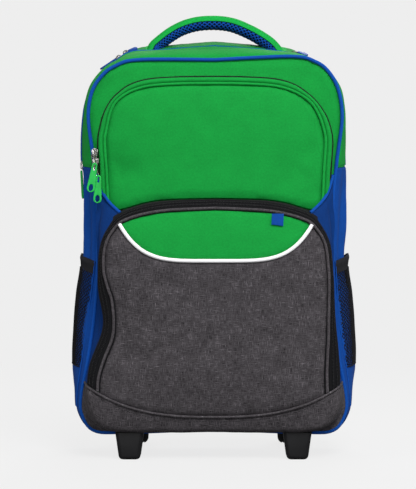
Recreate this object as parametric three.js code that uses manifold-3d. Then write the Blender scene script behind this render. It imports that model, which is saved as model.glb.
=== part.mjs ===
// A wheeled travel bag: a soft main compartment with two front pockets, mesh side pockets and a padded top
// handle, standing on two front feet and two rear wheels, with a telescopic pull handle on its back.
// Millimetres, +Z up, front towards -Y. The origin is on the floor, under the middle of the bag.
import * as THREE from "three";
import { mergeVertices } from "three/addons/utils/BufferGeometryUtils.js";
import Module from "manifold-3d";

const wasm = await Module();
wasm.setup();

// Driving sizes.
const GAP = 0.3; // clearance between neighbouring pieces
const WALL = 2.4; // padded fabric of the main compartment
const POCKET_WALL = 2; // fabric of the front pockets
const PIPING_R = 2.1; // corded edge
const YOKE_PIPING_R = 1.6; // the white one across the lower pocket
const SEAM_HALF = PIPING_R + GAP; // half the slot that a piping lies in
const STEPS_PER_ROW = 2; // points on a section for each row of its outline

const FRONT_SEAM_Y = -68;
const ZIP_FRONT_Y = 3;
const ZIP_BACK_Y = 13;
const BACK_SEAM_Y = 64;
const MID_Z = 260; // height about which the sections stretch
const COLOUR_SEAM = { z: 358.5, slope: 0.1 }; // green above, blue below, rising to the back
const BODY_HALF = 166;

const UPPER_BAND = 9; // width of the upper pocket's zip band
const ZIP_BAND = 12; // width of the lower pocket's zip band
const ZIP_EDGE_Y = -98; // outer edge of that band
const WING_INNER_X = 118; // where the wings meet the lower pocket's top
const WING_TIP_Z = 334;
const POCKET_DENT = { depth: 15.8, z: 161, reach: 36 }; // the slack left edge of the lower pocket
// Upper edge of the base panel and lower edge of the green yoke, which turn up at the sides.
const BASE_EDGE = { bottom: 52.5, half: 155, rise: 38, flatness: 2.7 };
const YOKE_EDGE = { bottom: 239, middle: 2.5, half: 116, rise: 45, flatness: 4.6 };
const BASE_STEP = 14; // spacing of the points along those two edges
const YOKE_STEP = 7;
const TAB = { left: 69.7, right: 84, bottom: 280.7, top: 296, thick: 1.8 };

// The side pocket's net; base is the top of its blue foot.
const NET = { thick: 1.4, front: -55, back: 55, bottom: 60, base: 108, seat: 0.8, steps: 10 };
const ELASTIC = { thick: 2.2, bottom: 222, top: 238, rise: 10 }; // the rise is at the middle of its depth
const HANDLE = { y: 30, half: 15, cover: 6.6, filling: 10.6 };

const WHEEL = { r: 30, shoulder: 6, half: 13, x: 97, y: 86.4, bore: 4.3, steps: 28 };
const AXLE = { r: 4, half: 20.5 };
const BRACKET = { half: 21, room: 3, side: 1.5, hub: 12, front: 50, seat: 82 };
const FOOT = { x: 101, y: -84, halfDepth: 14, corner: 5, height: 44 };
const TUBE = { x: 88, halfX: 8, front: 67.4, depth: 12, wall: 1.5, bottom: 82.3, top: 440 };
const GRIP = { half: 98, front: 68, back: 84, top: 464, corner: 6, socket: 12 };
const ROD_BOTTOM = 85;

// Right half of the front seam, from the bottom centre to the top centre: full at the base and drawn in at
// the waist.
const SEAM_OUTLINE = [
  { x: 0, z: 30 },
  { x: 118, z: 29.5 },
  { x: 146, z: 33 },
  { x: 159.5, z: 51 },
  { x: 161, z: 74 },
  { x: 151, z: 130 },
  { x: 144.3, z: 190 },
  { x: 143, z: 300 },
  { x: 148, z: 360 },
  { x: 154, z: 414 },
  { x: 149, z: 446 },
  { x: 128, z: 475 },
  { x: 93, z: 486.5 },
  { x: 0, z: 483.5 },
];
// The same at the middle of the gusset, where the filled bag is widest.
const BODY_OUTLINE = [
  { x: 0, z: 26 },
  { x: 118, z: 26 },
  { x: 150, z: 30 },
  { x: 167, z: 49 },
  { x: 171, z: 74 },
  { x: 167, z: 130 },
  { x: 164, z: 190 },
  { x: 164, z: 300 },
  { x: 165, z: 360 },
  { x: 165, z: 410 },
  { x: 158.5, z: 452.5 },
  { x: 141.5, z: 479 },
  { x: 96, z: 501 },
  { x: 0, z: 507 },
];
// The soft top leans a little to the right, and so do the seams and pockets on the front from lower down.
const LEAN = { x: 3.5, low: 345, high: 450 };
const FRONT_LEAN = { x: 2.2, low: 150, high: 230 };
// Sections of the main compartment from front to back. body blends from the seam outline to the body outline,
// fill shrinks a section inside a panel, grow widens it, lift raises the top's middle and rise the bottom.
const MAIN_SECTIONS = [
  { y: -74, body: 0, fill: 0.5, grow: 0, lift: 0, rise: 0 },
  { y: FRONT_SEAM_Y, body: 0, fill: 1, grow: 0, lift: 0, rise: 0 },
  { y: -58, body: 0.45, fill: 1, grow: 0, lift: 0, rise: 0 },
  { y: -38, body: 0.85, fill: 1, grow: 0, lift: 0, rise: 0 },
  { y: 8, body: 1, fill: 1, grow: 0, lift: 2, rise: 0 },
  { y: 36, body: 1, fill: 1, grow: 0, lift: 9, rise: 2 },
  { y: 50, body: 1, fill: 1, grow: -1, lift: 11, rise: 12 },
  { y: 59, body: 1, fill: 1, grow: -5, lift: 9, rise: 25 },
  { y: BACK_SEAM_Y, body: 1, fill: 1, grow: -12, lift: 3, rise: 40 },
  { y: 67, body: 1, fill: 0.5, grow: -12, lift: 3, rise: 40 },
];

// The upper front pocket: an inverted U whose foot runs in behind the lower pocket.
const UPPER_OUTLINE = [
  { x: 0, z: 250 },
  { x: 90, z: 250 },
  { x: 128, z: 262 },
  { x: 137, z: 300 },
  { x: 140, z: 350 },
  { x: 142, z: 385 },
  { x: 137, z: 411 },
  { x: 126, z: 430 },
  { x: 104, z: 448 },
  { x: 70, z: 459.5 },
  { x: 0, z: 462.3 },
];
const UPPER_SECTIONS = [
  { y: -60, inset: 0, fill: 1 },
  { y: -77, inset: 0, fill: 1 },
  { y: -81, inset: UPPER_BAND, fill: 1 },
  { y: -88, inset: 12, fill: 0.72 },
  { y: -90, inset: 12, fill: 0.35 },
];

// The lower front pocket: its back edge on the front seam, with a wing that climbs each side, and its zipped
// front.
const POCKET_BACK_OUTLINE = [
  { x: 0, z: 33 },
  { x: 110, z: 33 },
  { x: 140, z: 39 },
  { x: 156, z: 58 },
  { x: 157, z: 86 },
  { x: 148, z: 132 },
  { x: 142, z: 200 },
  { x: 140.5, z: 300 },
  { x: 141, z: 337 },
  { x: 128, z: 313 },
  { x: 113, z: 304 },
  { x: 70, z: 313 },
  { x: 0, z: 314 },
];
const POCKET_FRONT_OUTLINE = [
  { x: 0, z: 36 },
  { x: 106, z: 36 },
  { x: 136, z: 42 },
  { x: 150, z: 60 },
  { x: 152.5, z: 92 },
  { x: 150.5, z: 130 },
  { x: 145.3, z: 180 },
  { x: 142, z: 225 },
  { x: 138.3, z: 258 },
  { x: 128.3, z: 280.5 },
  { x: 111.3, z: 297.5 },
  { x: 68, z: 309.5 },
  { x: 0, z: 313.5 },
];
// front blends from the back outline to the front one; inset and fill draw a section in on the zip band and
// panel.
const POCKET_SECTIONS = [
  { y: -58, front: 0, inset: 0, fill: 1 },
  { y: -70, front: 0, inset: 0, fill: 1 },
  { y: -84, front: 0.5, inset: 0, fill: 1 },
  { y: ZIP_EDGE_Y, front: 1, inset: 0, fill: 1 },
  { y: -105, front: 1, inset: ZIP_BAND, fill: 1 },
  { y: -114, front: 1, inset: ZIP_BAND, fill: 0.66 },
  { y: -116, front: 1, inset: ZIP_BAND, fill: 0.3 },
];
// The piping on a wing's upper edge, from the front seam to the lower pocket's zip band.
const WING_PIPING_POINTS = [
  { x: 143, y: -68, z: 341 },
  { x: 140, y: -72, z: 333 },
  { x: 135, y: -79, z: 321.5 },
  { x: 127, y: -86, z: 309.5 },
  { x: 116, y: -93, z: 299 },
];

// How far the side pocket stands off the bag at each height: its blue foot, its net and its elastic.
const SIDE_BASE_ROWS = [
  { z: NET.bottom, stand: 0.2 },
  { z: 74, stand: 0.9 },
  { z: 90, stand: 4 },
  { z: NET.base - GAP, stand: 7.4 },
];
const NET_ROWS = [
  { z: NET.base, stand: 7.4 },
  { z: 130, stand: 9 },
  { z: 160, stand: 9.2 },
  { z: 190, stand: 7.6 },
  { z: ELASTIC.bottom - GAP, stand: 3.8 },
];
const ELASTIC_ROWS = [
  { z: ELASTIC.bottom, stand: 3 },
  { z: ELASTIC.top, stand: 2.6 },
];

// The upper line of the top handle's arch.
const HANDLE_ARCH = [
  { x: -87.7, z: 496 },
  { x: -83.7, z: 512.3 },
  { x: -74.6, z: 524 },
  { x: -61.5, z: 535.2 },
  { x: -43.3, z: 544.2 },
  { x: -22, z: 548.4 },
  { x: 2, z: 549.5 },
  { x: 24.3, z: 546.8 },
  { x: 45, z: 539 },
  { x: 63, z: 528.6 },
  { x: 78.8, z: 517 },
  { x: 92, z: 498.2 },
];
// Sections of a foot; in draws the bottom edge in to round it.
const FOOT_ROWS = [
  { z: 0, half: 13, in: 4.5 },
  { z: 1.4, half: 13, in: 1.6 },
  { z: 5, half: 13.3, in: 0 },
  { z: 34, half: 17.5, in: 0 },
  { z: FOOT.height, half: 18.5, in: 0 },
];

// Sliders and pulls of the upper pocket's zip, hanging on the left.
const HANGING_SLIDERS = [
  { name: "upper_slider_a", x: -141.5, top: 380, bottom: 369.5, tongue: 353, lean: -2, front: -90.2 },
  { name: "upper_slider_b", x: -139, top: 369, bottom: 358.5, tongue: 335, lean: 1, front: -85.5 },
];
const HANGING_PULLS = [
  { name: "upper_pull_a", x: -142, z: 360.5, length: 39, lean: -0.18, y: -90.5 },
  { name: "upper_pull_b", x: -138, z: 342.5, length: 35, lean: -0.07, y: -85.8 },
];
const HANGING = {
  sliderFront: -85.5,
  sliderHalf: 4.5,
  tongueHalf: 1.6,
  tongueDepth: 1.6,
  pullHalf: 5,
  pullThick: 2.4,
};
// Sliders and pulls lying on the main zip. A pull is a strip along its points.
const LYING = { y: 8, sliderHalf: 4.5, sliderThick: 4, pullHalf: 5, pullThick: 2.2 };
const LYING_SLIDERS = [
  { name: "main_slider_a", x: -109, half: 5.5 },
  { name: "main_slider_b", x: -121.5, half: 5 },
  { name: "main_slider_c", x: 102, half: 5 },
];
const LYING_PULLS = [
  { name: "main_pull_a", from: -103, to: -90, lift: 2.6 },
  { name: "main_pull_b", from: -127.4, to: -146, lift: 1.4 },
  { name: "main_pull_c", from: 107.8, to: 122, lift: 1.8 },
];
const SIDE_PULL = { y: 0, top: 352, bottom: 316, half: 5, thick: 2.4, sliderTop: 364, sliderHalf: 4 };

const CLOTH = { roughness: 0.85, metalness: 0 };
const MATERIALS = {
  green: new THREE.MeshStandardMaterial({ color: 0x1fa447, ...CLOTH }),
  blue: new THREE.MeshStandardMaterial({ color: 0x124494, ...CLOTH }),
  melange: new THREE.MeshStandardMaterial({ color: 0x49464a, ...CLOTH }),
  black: new THREE.MeshStandardMaterial({ color: 0x1b1a1c, ...CLOTH }),
  white: new THREE.MeshStandardMaterial({ color: 0xf2f2f6, ...CLOTH }),
  plastic: new THREE.MeshStandardMaterial({ color: 0x242326, roughness: 0.5, metalness: 0 }),
  greenRubber: new THREE.MeshStandardMaterial({ color: 0x2bc452, roughness: 0.55, metalness: 0 }),
  blueRubber: new THREE.MeshStandardMaterial({ color: 0x1550b4, roughness: 0.55, metalness: 0 }),
  steel: new THREE.MeshStandardMaterial({ color: 0xc8c5c2, roughness: 0.3, metalness: 1 }),
};

const bag = new THREE.Group();

// Adds a named piece to the bag, with a material of its own.
function addPiece(name, shape, material) {
  const geometry = shape.isBufferGeometry ? shape : geometryOf(shape);
  const mesh = new THREE.Mesh(geometry, MATERIALS[material].clone());
  mesh.name = name;
  bag.add(mesh);
}

// A closed geometry as a solid for joining and cutting.
function solidOf(geometry) {
  const bare = geometry.clone();
  bare.deleteAttribute("normal");
  bare.deleteAttribute("uv");
  const welded = mergeVertices(bare, 1e-4);
  return new wasm.Manifold(
    new wasm.Mesh({
      numProp: 3,
      vertProperties: new Float32Array(welded.attributes.position.array),
      triVerts: new Uint32Array(welded.index.array),
    }),
  );
}

// The geometry of a joined or cut solid.
function geometryOf(solid) {
  const mesh = solid.getMesh();
  const geometry = new THREE.BufferGeometry();
  geometry.setAttribute("position", new THREE.BufferAttribute(new Float32Array(mesh.vertProperties), 3));
  geometry.setIndex(new THREE.BufferAttribute(new Uint32Array(mesh.triVerts), 1));
  geometry.computeVertexNormals();
  return geometry;
}

// Joins rings of equally many points into one closed surface. A loop joins the last ring to the first;
// otherwise each end is closed across its ring.
function loft(rings, loop = false, across = endFaces) {
  const count = rings[0].length;
  const faces = [];
  const spans = loop ? rings.length : rings.length - 1;
  for (let i = 0; i < spans; i++) {
    const near = i * count;
    const far = ((i + 1) % rings.length) * count;
    for (let j = 0; j < count; j++) {
      const k = (j + 1) % count;
      faces.push(near + j, far + k, far + j, near + j, near + k, far + k);
    }
  }
  if (!loop) {
    const last = (rings.length - 1) * count;
    for (const [a, b, c] of across(rings[0])) faces.push(a, c, b);
    for (const [a, b, c] of across(rings.at(-1))) faces.push(last + a, last + b, last + c);
  }
  const geometry = new THREE.BufferGeometry().setFromPoints(rings.flat());
  geometry.setIndex(faces);
  if (solidOf(geometry).volume() < 0) geometry.setIndex(faces.reverse());
  geometry.computeVertexNormals();
  return geometry;
}

// Triangles across a flat ring, turned the way its points run.
function endFaces(ring) {
  const normal = new THREE.Vector3();
  ring.forEach((p, i) => {
    const here = p.clone().sub(ring[0]);
    const next = ring[(i + 1) % ring.length].clone().sub(ring[0]);
    normal.add(here.cross(next));
  });
  const turn = new THREE.Quaternion().setFromUnitVectors(normal.normalize(), new THREE.Vector3(0, 0, 1));
  const flat = ring.map((p) => p.clone().applyQuaternion(turn));
  return THREE.ShapeUtils.triangulateShape(
    flat.map((p) => new THREE.Vector2(p.x, p.y)),
    [],
  );
}

// Triangles across a thin curved ring, between its outer points and the inner ones that run back beside them.
function stripFaces(ring) {
  const faces = [];
  const last = ring.length - 1;
  for (let i = 0; i < ring.length / 2 - 1; i++) {
    faces.push([i, i + 1, last - i - 1], [i, last - i - 1, last - i]);
  }
  return faces;
}

// A box between two corners.
function boxBetween(low, high) {
  const size = high.map((v, i) => v - low[i]);
  const geometry = new THREE.BoxGeometry(...size);
  return solidOf(geometry.translate(...low.map((v, i) => v + size[i] / 2)));
}

// The part of a solid between two depths.
function between(solid, yLow, yHigh) {
  return solid.intersect(boxBetween([-500, yLow, -500], [500, yHigh, 900]));
}

// Points along a half outline, from the bottom centre to the top centre.
function halfPoints(outline) {
  const curve = new THREE.SplineCurve(outline.map((p) => new THREE.Vector2(p.x, p.z)));
  return curve.getPoints(STEPS_PER_ROW * (outline.length - 1));
}

// How far a point at a height leans to the right, when an outline leans by front at its middle.
function leanAt(z, front) {
  const top = THREE.MathUtils.smoothstep(z, LEAN.low, LEAN.high);
  return LEAN.x * top + front * (1 - top) * THREE.MathUtils.smoothstep(z, FRONT_LEAN.low, FRONT_LEAN.high);
}

// A whole ring of [x, z] points from a half outline: up the right side and down the left.
function ringOf(outline, front = 0) {
  const half = halfPoints(outline);
  const left = half.slice(1, -1).reverse();
  const ring = [...half, ...left.map((p) => new THREE.Vector2(-p.x, p.y))];
  return ring.map((p) => new THREE.Vector2(p.x + leanAt(p.y, front), p.y));
}

// Draws a ring of [x, z] points in by a distance square to its edge.
function drawnIn(ring, distance) {
  const count = ring.length;
  return ring.map((p, i) => {
    const along = ring[(i + 1) % count].clone().sub(ring[(i + count - 1) % count]).normalize();
    return new THREE.Vector2(p.x - along.y * distance, p.y + along.x * distance);
  });
}

// Mixes two rings point by point.
function mixed(a, b, share) {
  return a.map((p, i) => p.clone().lerp(b[i], share));
}

// Shrinks a ring towards the middle of its height.
function shrunk(ring, fill) {
  const heights = ring.map((p) => p.y);
  const middle = new THREE.Vector2(0, (Math.min(...heights) + Math.max(...heights)) / 2);
  return ring.map((p) => middle.clone().lerp(p, fill));
}

// Stands a ring of [x, z] points up at a depth.
function standing(ring, y) {
  return ring.map((p) => new THREE.Vector3(p.x, y, p.y));
}

// A block with a ring's outline between two depths, for cutting a shell along a seam.
function prism(ring, yLow, yHigh) {
  return solidOf(loft([standing(ring, yLow), standing(ring, yHigh)]));
}

const seamRing = ringOf(SEAM_OUTLINE, FRONT_LEAN.x);
const bodyRing = ringOf(BODY_OUTLINE);
const upperRing = ringOf(UPPER_OUTLINE, FRONT_LEAN.x);
const pocketBackRing = ringOf(POCKET_BACK_OUTLINE, FRONT_LEAN.x);
const pocketFrontRing = ringOf(POCKET_FRONT_OUTLINE, FRONT_LEAN.x);
const TOP_Z = BODY_OUTLINE.at(-1).z;

// One ring of the main compartment, drawn in by the wall for the inside.
function mainRing(row, wall) {
  const ring = mixed(seamRing, bodyRing, row.body).map((p) => {
    const above = Math.max(0, (p.y - MID_Z) / (TOP_Z - MID_Z));
    const below = Math.max(0, (MID_Z - p.y) / MID_Z);
    const crown = row.lift * above * (1 - (p.x / BODY_HALF) ** 2);
    return new THREE.Vector2(p.x * (1 + row.grow / BODY_HALF), p.y + crown + row.rise * below);
  });
  const nearFront = row.y <= FRONT_SEAM_Y;
  const nearBack = row.y >= BACK_SEAM_Y;
  const inward = nearFront ? wall : nearBack ? -wall : 0;
  return standing(shrunk(drawnIn(ring, wall), row.fill), row.y + inward);
}

// The main compartment as a full form, drawn in by the given wall.
function mainForm(wall) {
  return solidOf(loft(MAIN_SECTIONS.map((row) => mainRing(row, wall))));
}

// The upper pocket as a full form. The inside runs out at the back, so that the pocket is open there.
function upperForm(wall) {
  const rings = UPPER_SECTIONS.map((row, i) => {
    const ring = shrunk(drawnIn(upperRing, row.inset + wall), row.fill);
    return standing(ring, row.y + (i === 0 ? 2 : 1) * wall);
  });
  return solidOf(loft(rings));
}

// Pushes the left edge of the lower pocket in where its cloth is slack.
function dented(ring) {
  return ring.map((p) => {
    const near = Math.exp(-(((p.y - POCKET_DENT.z) / POCKET_DENT.reach) ** 2));
    const leftward = Math.max(0, -p.x / BODY_HALF);
    return new THREE.Vector2(p.x + POCKET_DENT.depth * near * leftward, p.y);
  });
}

// The edge of the lower pocket's front, drawn in by a distance.
function pocketFrontEdge(distance) {
  return drawnIn(dented(pocketFrontRing), distance);
}

// The lower pocket as a full form, open at the back on the inside.
function pocketForm(wall) {
  const rings = POCKET_SECTIONS.map((row, i) => {
    const outline = mixed(pocketBackRing, dented(pocketFrontRing), row.front);
    const ring = shrunk(drawnIn(outline, row.inset + wall), row.fill);
    return standing(ring, row.y + (i === 0 ? 2 : 1) * wall);
  });
  return solidOf(loft(rings));
}

// A round cord along points; a closed one meets its own start.
function cord(points, radius, closed = false, steps = points.length - (closed ? 0 : 1), sides = 6) {
  const curve = new THREE.CatmullRomCurve3(points, closed);
  const frames = curve.computeFrenetFrames(steps, closed);
  const rings = [];
  for (let i = 0; i < steps + (closed ? 0 : 1); i++) {
    const centre = curve.getPoint(i / steps);
    const ring = [];
    for (let j = 0; j < sides; j++) {
      const angle = (2 * Math.PI * j) / sides;
      const side = frames.normals[i].clone().multiplyScalar(radius * Math.cos(angle));
      ring.push(centre.clone().add(side).addScaledVector(frames.binormals[i], radius * Math.sin(angle)));
    }
    rings.push(ring);
  }
  return solidOf(loft(rings, closed));
}

// Points on a form's front, straight behind [x, z] points. A point that misses the form is left out.
function draped(points, form) {
  const mesh = new THREE.Mesh(geometryOf(form));
  const ray = new THREE.Raycaster();
  const towardsBack = new THREE.Vector3(0, 1, 0);
  const onForm = [];
  for (const p of points) {
    ray.set(new THREE.Vector3(p.x, -400, p.y), towardsBack);
    const hit = ray.intersectObject(mesh)[0];
    if (hit) onForm.push(hit.point);
  }
  return onForm;
}

// Height of the base panel's upper edge.
function baseEdgeZ(x) {
  return BASE_EDGE.bottom + BASE_EDGE.rise * Math.abs(x / BASE_EDGE.half) ** BASE_EDGE.flatness;
}

// Height of the yoke's lower edge.
function yokeEdgeZ(x) {
  const across = Math.abs((x - YOKE_EDGE.middle) / YOKE_EDGE.half);
  return YOKE_EDGE.bottom + YOKE_EDGE.rise * across ** YOKE_EDGE.flatness;
}

// Points [x, z] along a line z(x).
function lineOf(edge, half, step) {
  const points = [];
  for (let x = -half; x <= half; x += step) points.push(new THREE.Vector2(x, edge(x)));
  return points;
}

// A block in front of the main compartment, below a line z(x) that is moved up, square to itself, by a shift.
function blockUnder(edge, shift, step) {
  const half = 168;
  const ring = [new THREE.Vector2(-half - 5, -50), new THREE.Vector2(half + 5, -50)];
  for (const p of lineOf(edge, half, step).reverse()) {
    const slope = edge(p.x + 0.5) - edge(p.x - 0.5);
    const square = new THREE.Vector2(-slope, 1).normalize();
    ring.push(p.addScaledVector(square, shift));
  }
  return prism(ring, -200, -40);
}

// A block under the sloping seam between the green and the blue, moved up by a shift.
function underColourSeam(shift) {
  const corner = (x, y, z) => new THREE.Vector3(x, y, z);
  const ringAt = (x) => [
    corner(x, -100, -50),
    corner(x, 100, -50),
    corner(x, 100, COLOUR_SEAM.z + 100 * COLOUR_SEAM.slope + shift),
    corner(x, -100, COLOUR_SEAM.z - 100 * COLOUR_SEAM.slope + shift),
  ];
  return solidOf(loft([ringAt(-400), ringAt(400)]));
}

// A flat outline of [x, y] turned into a plate: its x runs along one direction and its y along another.
function plate(shape, thickness, origin, xAxis, yAxis) {
  const zAxis = new THREE.Vector3().crossVectors(xAxis, yAxis);
  const place = new THREE.Matrix4().makeBasis(xAxis, yAxis, zAxis).setPosition(origin);
  const options = { depth: thickness, bevelEnabled: false, curveSegments: 5 };
  const geometry = new THREE.ExtrudeGeometry(shape, options);
  return solidOf(geometry.applyMatrix4(place));
}

// A rubber zip pull, hanging from its origin: narrow at the top, with an oval hole near its end.
function pullShape(length, half) {
  const shape = new THREE.Shape();
  shape.moveTo(0, -half * 0.7);
  shape.lineTo(length - half, -half);
  shape.absarc(length - half, 0, half, -Math.PI / 2, Math.PI / 2);
  shape.lineTo(0, half * 0.7);
  shape.closePath();
  const hole = new THREE.Path();
  hole.absellipse(length - half * 1.35, 0, half * 0.8, half * 0.45, 0, 2 * Math.PI, true);
  shape.holes.push(hole);
  return shape;
}

const main = mainForm(0);
const mainClear = mainForm(-GAP);
const frontPipingClear = cord(standing(seamRing, FRONT_SEAM_Y), SEAM_HALF, true);
const backRow = MAIN_SECTIONS.find((row) => row.y === BACK_SEAM_Y);
const backRing = mainRing(backRow, 0).map((p) => new THREE.Vector2(p.x, p.z));
const backPipingClear = cord(standing(backRing, BACK_SEAM_Y), SEAM_HALF, true);
const bodyClear = mainClear.add(frontPipingClear).add(backPipingClear);
const upper = upperForm(0);
const upperClear = upperForm(-GAP);
const pocket = pocketForm(0);
const pocketClear = pocketForm(-GAP);
const mainSurface = new THREE.Mesh(geometryOf(main));

// The outside of the bag's right side at a depth and height.
function sideX(y, z) {
  const ray = new THREE.Raycaster(new THREE.Vector3(400, y, z), new THREE.Vector3(-1, 0, 0));
  return ray.intersectObject(mainSurface)[0].point.x;
}

// The top of the bag at a place.
function topZ(x, y) {
  const ray = new THREE.Raycaster(new THREE.Vector3(x, y, 900), new THREE.Vector3(0, 0, -1));
  return ray.intersectObject(mainSurface)[0].point.z;
}

function buildMain() {
  const shell = main.subtract(mainForm(WALL));
  const gusset = between(shell, FRONT_SEAM_Y + SEAM_HALF, BACK_SEAM_Y - SEAM_HALF);
  const green = gusset.subtract(underColourSeam(GAP));
  addPiece("front_gusset", between(green, -100, ZIP_FRONT_Y), "green");
  addPiece("main_zip", between(green, ZIP_FRONT_Y + GAP, ZIP_BACK_Y - GAP), "blue");
  addPiece("back_gusset", between(green, ZIP_BACK_Y, 100), "green");
  addPiece("lower_gusset", gusset.intersect(underColourSeam(0)), "blue");

  const frontEdge = prism(drawnIn(seamRing, SEAM_HALF), -100, FRONT_SEAM_Y + SEAM_HALF - GAP);
  addPiece("front_panel", shell.intersect(frontEdge), "green");
  const backEdge = prism(drawnIn(backRing, SEAM_HALF), BACK_SEAM_Y - SEAM_HALF + GAP, 100);
  addPiece("back_panel", shell.intersect(backEdge), "black");
  addPiece("front_piping", cord(standing(seamRing, FRONT_SEAM_Y), PIPING_R, true), "blue");
  addPiece("back_piping", cord(standing(backRing, BACK_SEAM_Y), PIPING_R, true), "blue");
}

function buildLowerPocket() {
  const shell = pocket.subtract(pocketForm(POCKET_WALL)).subtract(bodyClear);
  addPiece("base_panel", shell.intersect(blockUnder(baseEdgeZ, -SEAM_HALF, BASE_STEP)), "melange");
  const aboveBase = shell.subtract(blockUnder(baseEdgeZ, SEAM_HALF, BASE_STEP));

  const front = aboveBase.intersect(prism(pocketFrontEdge(ZIP_BAND + SEAM_HALF), -200, -100));
  const yokeSeam = YOKE_PIPING_R + GAP;
  addPiece("pocket_panel", front.intersect(blockUnder(yokeEdgeZ, -yokeSeam, YOKE_STEP)), "melange");
  addPiece("pocket_yoke", front.subtract(blockUnder(yokeEdgeZ, yokeSeam, YOKE_STEP)), "green");

  const around = aboveBase.subtract(prism(pocketFrontEdge(ZIP_BAND - SEAM_HALF), -200, -100));
  const wingBlock = (side, gap) => {
    const inner = WING_INNER_X - gap;
    const xs = side > 0 ? [inner, 300] : [-300, -inner];
    return boxBetween([xs[0], ZIP_EDGE_Y - gap, -50], [xs[1], 0, 500]);
  };
  addPiece("pocket_zip_band", around.subtract(wingBlock(1, GAP)).subtract(wingBlock(-1, GAP)), "black");
  addPiece("wing_left", around.intersect(wingBlock(-1, 0)), "blue");
  addPiece("wing_right", around.intersect(wingBlock(1, 0)), "blue");

  const pipingBlock = blockUnder(baseEdgeZ, SEAM_HALF, BASE_STEP);
  const edge = cord(draped(pocketFrontEdge(ZIP_BAND), pocket), PIPING_R, true);
  addPiece("pocket_piping", edge.subtract(pipingBlock), "melange");
  const base = cord(draped(lineOf(baseEdgeZ, 154, BASE_STEP), pocket), PIPING_R);
  addPiece("base_piping", base.subtract(bodyClear), "melange");
  const yoke = cord(draped(lineOf(yokeEdgeZ, 126, YOKE_STEP), pocket), YOKE_PIPING_R);
  const insideEdge = prism(pocketFrontEdge(ZIP_BAND + SEAM_HALF), -200, -90);
  addPiece("yoke_piping", yoke.intersect(insideEdge), "white");

  const slab = pocketForm(-GAP - TAB.thick).subtract(pocketClear);
  const patch = boxBetween([TAB.left, -200, TAB.bottom], [TAB.right, -90, TAB.top]);
  addPiece("pocket_tab", slab.intersect(patch).intersect(insideEdge), "blue");
}

// The piping on one wing's edge, before it is cut to what it lies on.
function wingCord(side, radius) {
  const points = WING_PIPING_POINTS.map((p) => new THREE.Vector3(side * p.x, p.y, p.z));
  return cord(points, radius, false, 8);
}

function buildUpperPocket() {
  const below = pocketClear.add(bodyClear).add(wingCord(-1, SEAM_HALF)).add(wingCord(1, SEAM_HALF));
  const shell = upper.subtract(upperForm(POCKET_WALL)).subtract(below);
  const panelEdge = prism(drawnIn(upperRing, UPPER_BAND + SEAM_HALF), -200, -70);
  const bandEdge = prism(drawnIn(upperRing, UPPER_BAND - SEAM_HALF), -200, -70);
  addPiece("upper_pocket", largest(shell.intersect(panelEdge)), "green");
  addPiece("upper_zip_band", largest(shell.subtract(bandEdge)), "green");
  const edge = cord(draped(drawnIn(upperRing, UPPER_BAND), upper), PIPING_R, true);
  addPiece("upper_pocket_piping", largest(edge.subtract(below)), "green");
  const belowTip = boxBetween([-300, -200, 0], [300, 0, WING_TIP_Z]);
  for (const [name, side] of [["wing_piping_left", -1], ["wing_piping_right", 1]]) {
    const lying = wingCord(side, PIPING_R).subtract(pocketClear).subtract(bodyClear);
    addPiece(name, largest(lying.intersect(belowTip)), "blue");
  }
}

// The largest body of a cut solid, without the slivers that the cut leaves.
function largest(solid) {
  const bodies = solid.decompose();
  bodies.sort((a, b) => b.volume() - a.volume());
  return bodies[0];
}

// A sheet that stands off the bag's side, from rows of a height and a stand-off.
function sideSheet(side, rows, thick) {
  const rings = rows.map((row) => {
    const outer = [];
    const inner = [];
    for (let i = 0; i <= NET.steps; i++) {
      const across = i / NET.steps;
      const swell = Math.sin(Math.PI * across) ** 0.7;
      const y = NET.front + (NET.back - NET.front) * across;
      const z = row.z + (ELASTIC.rise * swell * (row.z - NET.bottom)) / (ELASTIC.top - NET.bottom);
      const near = sideX(y, z) + NET.seat + row.stand * swell;
      inner.push(new THREE.Vector3(side * near, y, z));
      outer.push(new THREE.Vector3(side * (near + thick), y, z));
    }
    return [...outer, ...inner.reverse()];
  });
  return solidOf(loft(rings, false, stripFaces)).subtract(mainClear);
}

function buildSidePockets() {
  for (const [end, side] of [["left", -1], ["right", 1]]) {
    addPiece("side_base_" + end, sideSheet(side, SIDE_BASE_ROWS, NET.thick), "blue");
    addPiece("side_net_" + end, sideSheet(side, NET_ROWS, NET.thick), "black");
    addPiece("elastic_" + end, sideSheet(side, ELASTIC_ROWS, ELASTIC.thick), "black");
  }
}

// A layer of the top handle between two depths below its arch.
function handleLayer(top, bottom, halfDepth) {
  const curve = new THREE.SplineCurve(HANDLE_ARCH.map((p) => new THREE.Vector2(p.x, p.z)));
  const steps = 2 * (HANDLE_ARCH.length - 1);
  const rings = [];
  for (let i = 0; i <= steps; i++) {
    const along = curve.getTangent(i / steps);
    const inward = new THREE.Vector2(along.y, -along.x);
    const place = curve.getPoint(i / steps);
    const at = (depth, y) => {
      const p = place.clone().addScaledVector(inward, depth);
      return new THREE.Vector3(p.x, HANDLE.y + y, p.y);
    };
    const soft = Math.min(3, (bottom - top) / 3);
    rings.push([
      at(top, -halfDepth + soft),
      at(top, halfDepth - soft),
      at(top + soft, halfDepth),
      at(bottom - soft, halfDepth),
      at(bottom, halfDepth - soft),
      at(bottom, -halfDepth + soft),
      at(bottom - soft, -halfDepth),
      at(top + soft, -halfDepth),
    ]);
  }
  return largest(solidOf(loft(rings)).subtract(mainClear));
}

function buildTopHandle() {
  addPiece("handle_cover", handleLayer(0, HANDLE.cover, HANDLE.half), "green");
  const filling = handleLayer(HANDLE.cover + GAP, HANDLE.cover + HANDLE.filling, HANDLE.half - 1);
  addPiece("handle_filling", filling, "blue");
}

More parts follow.
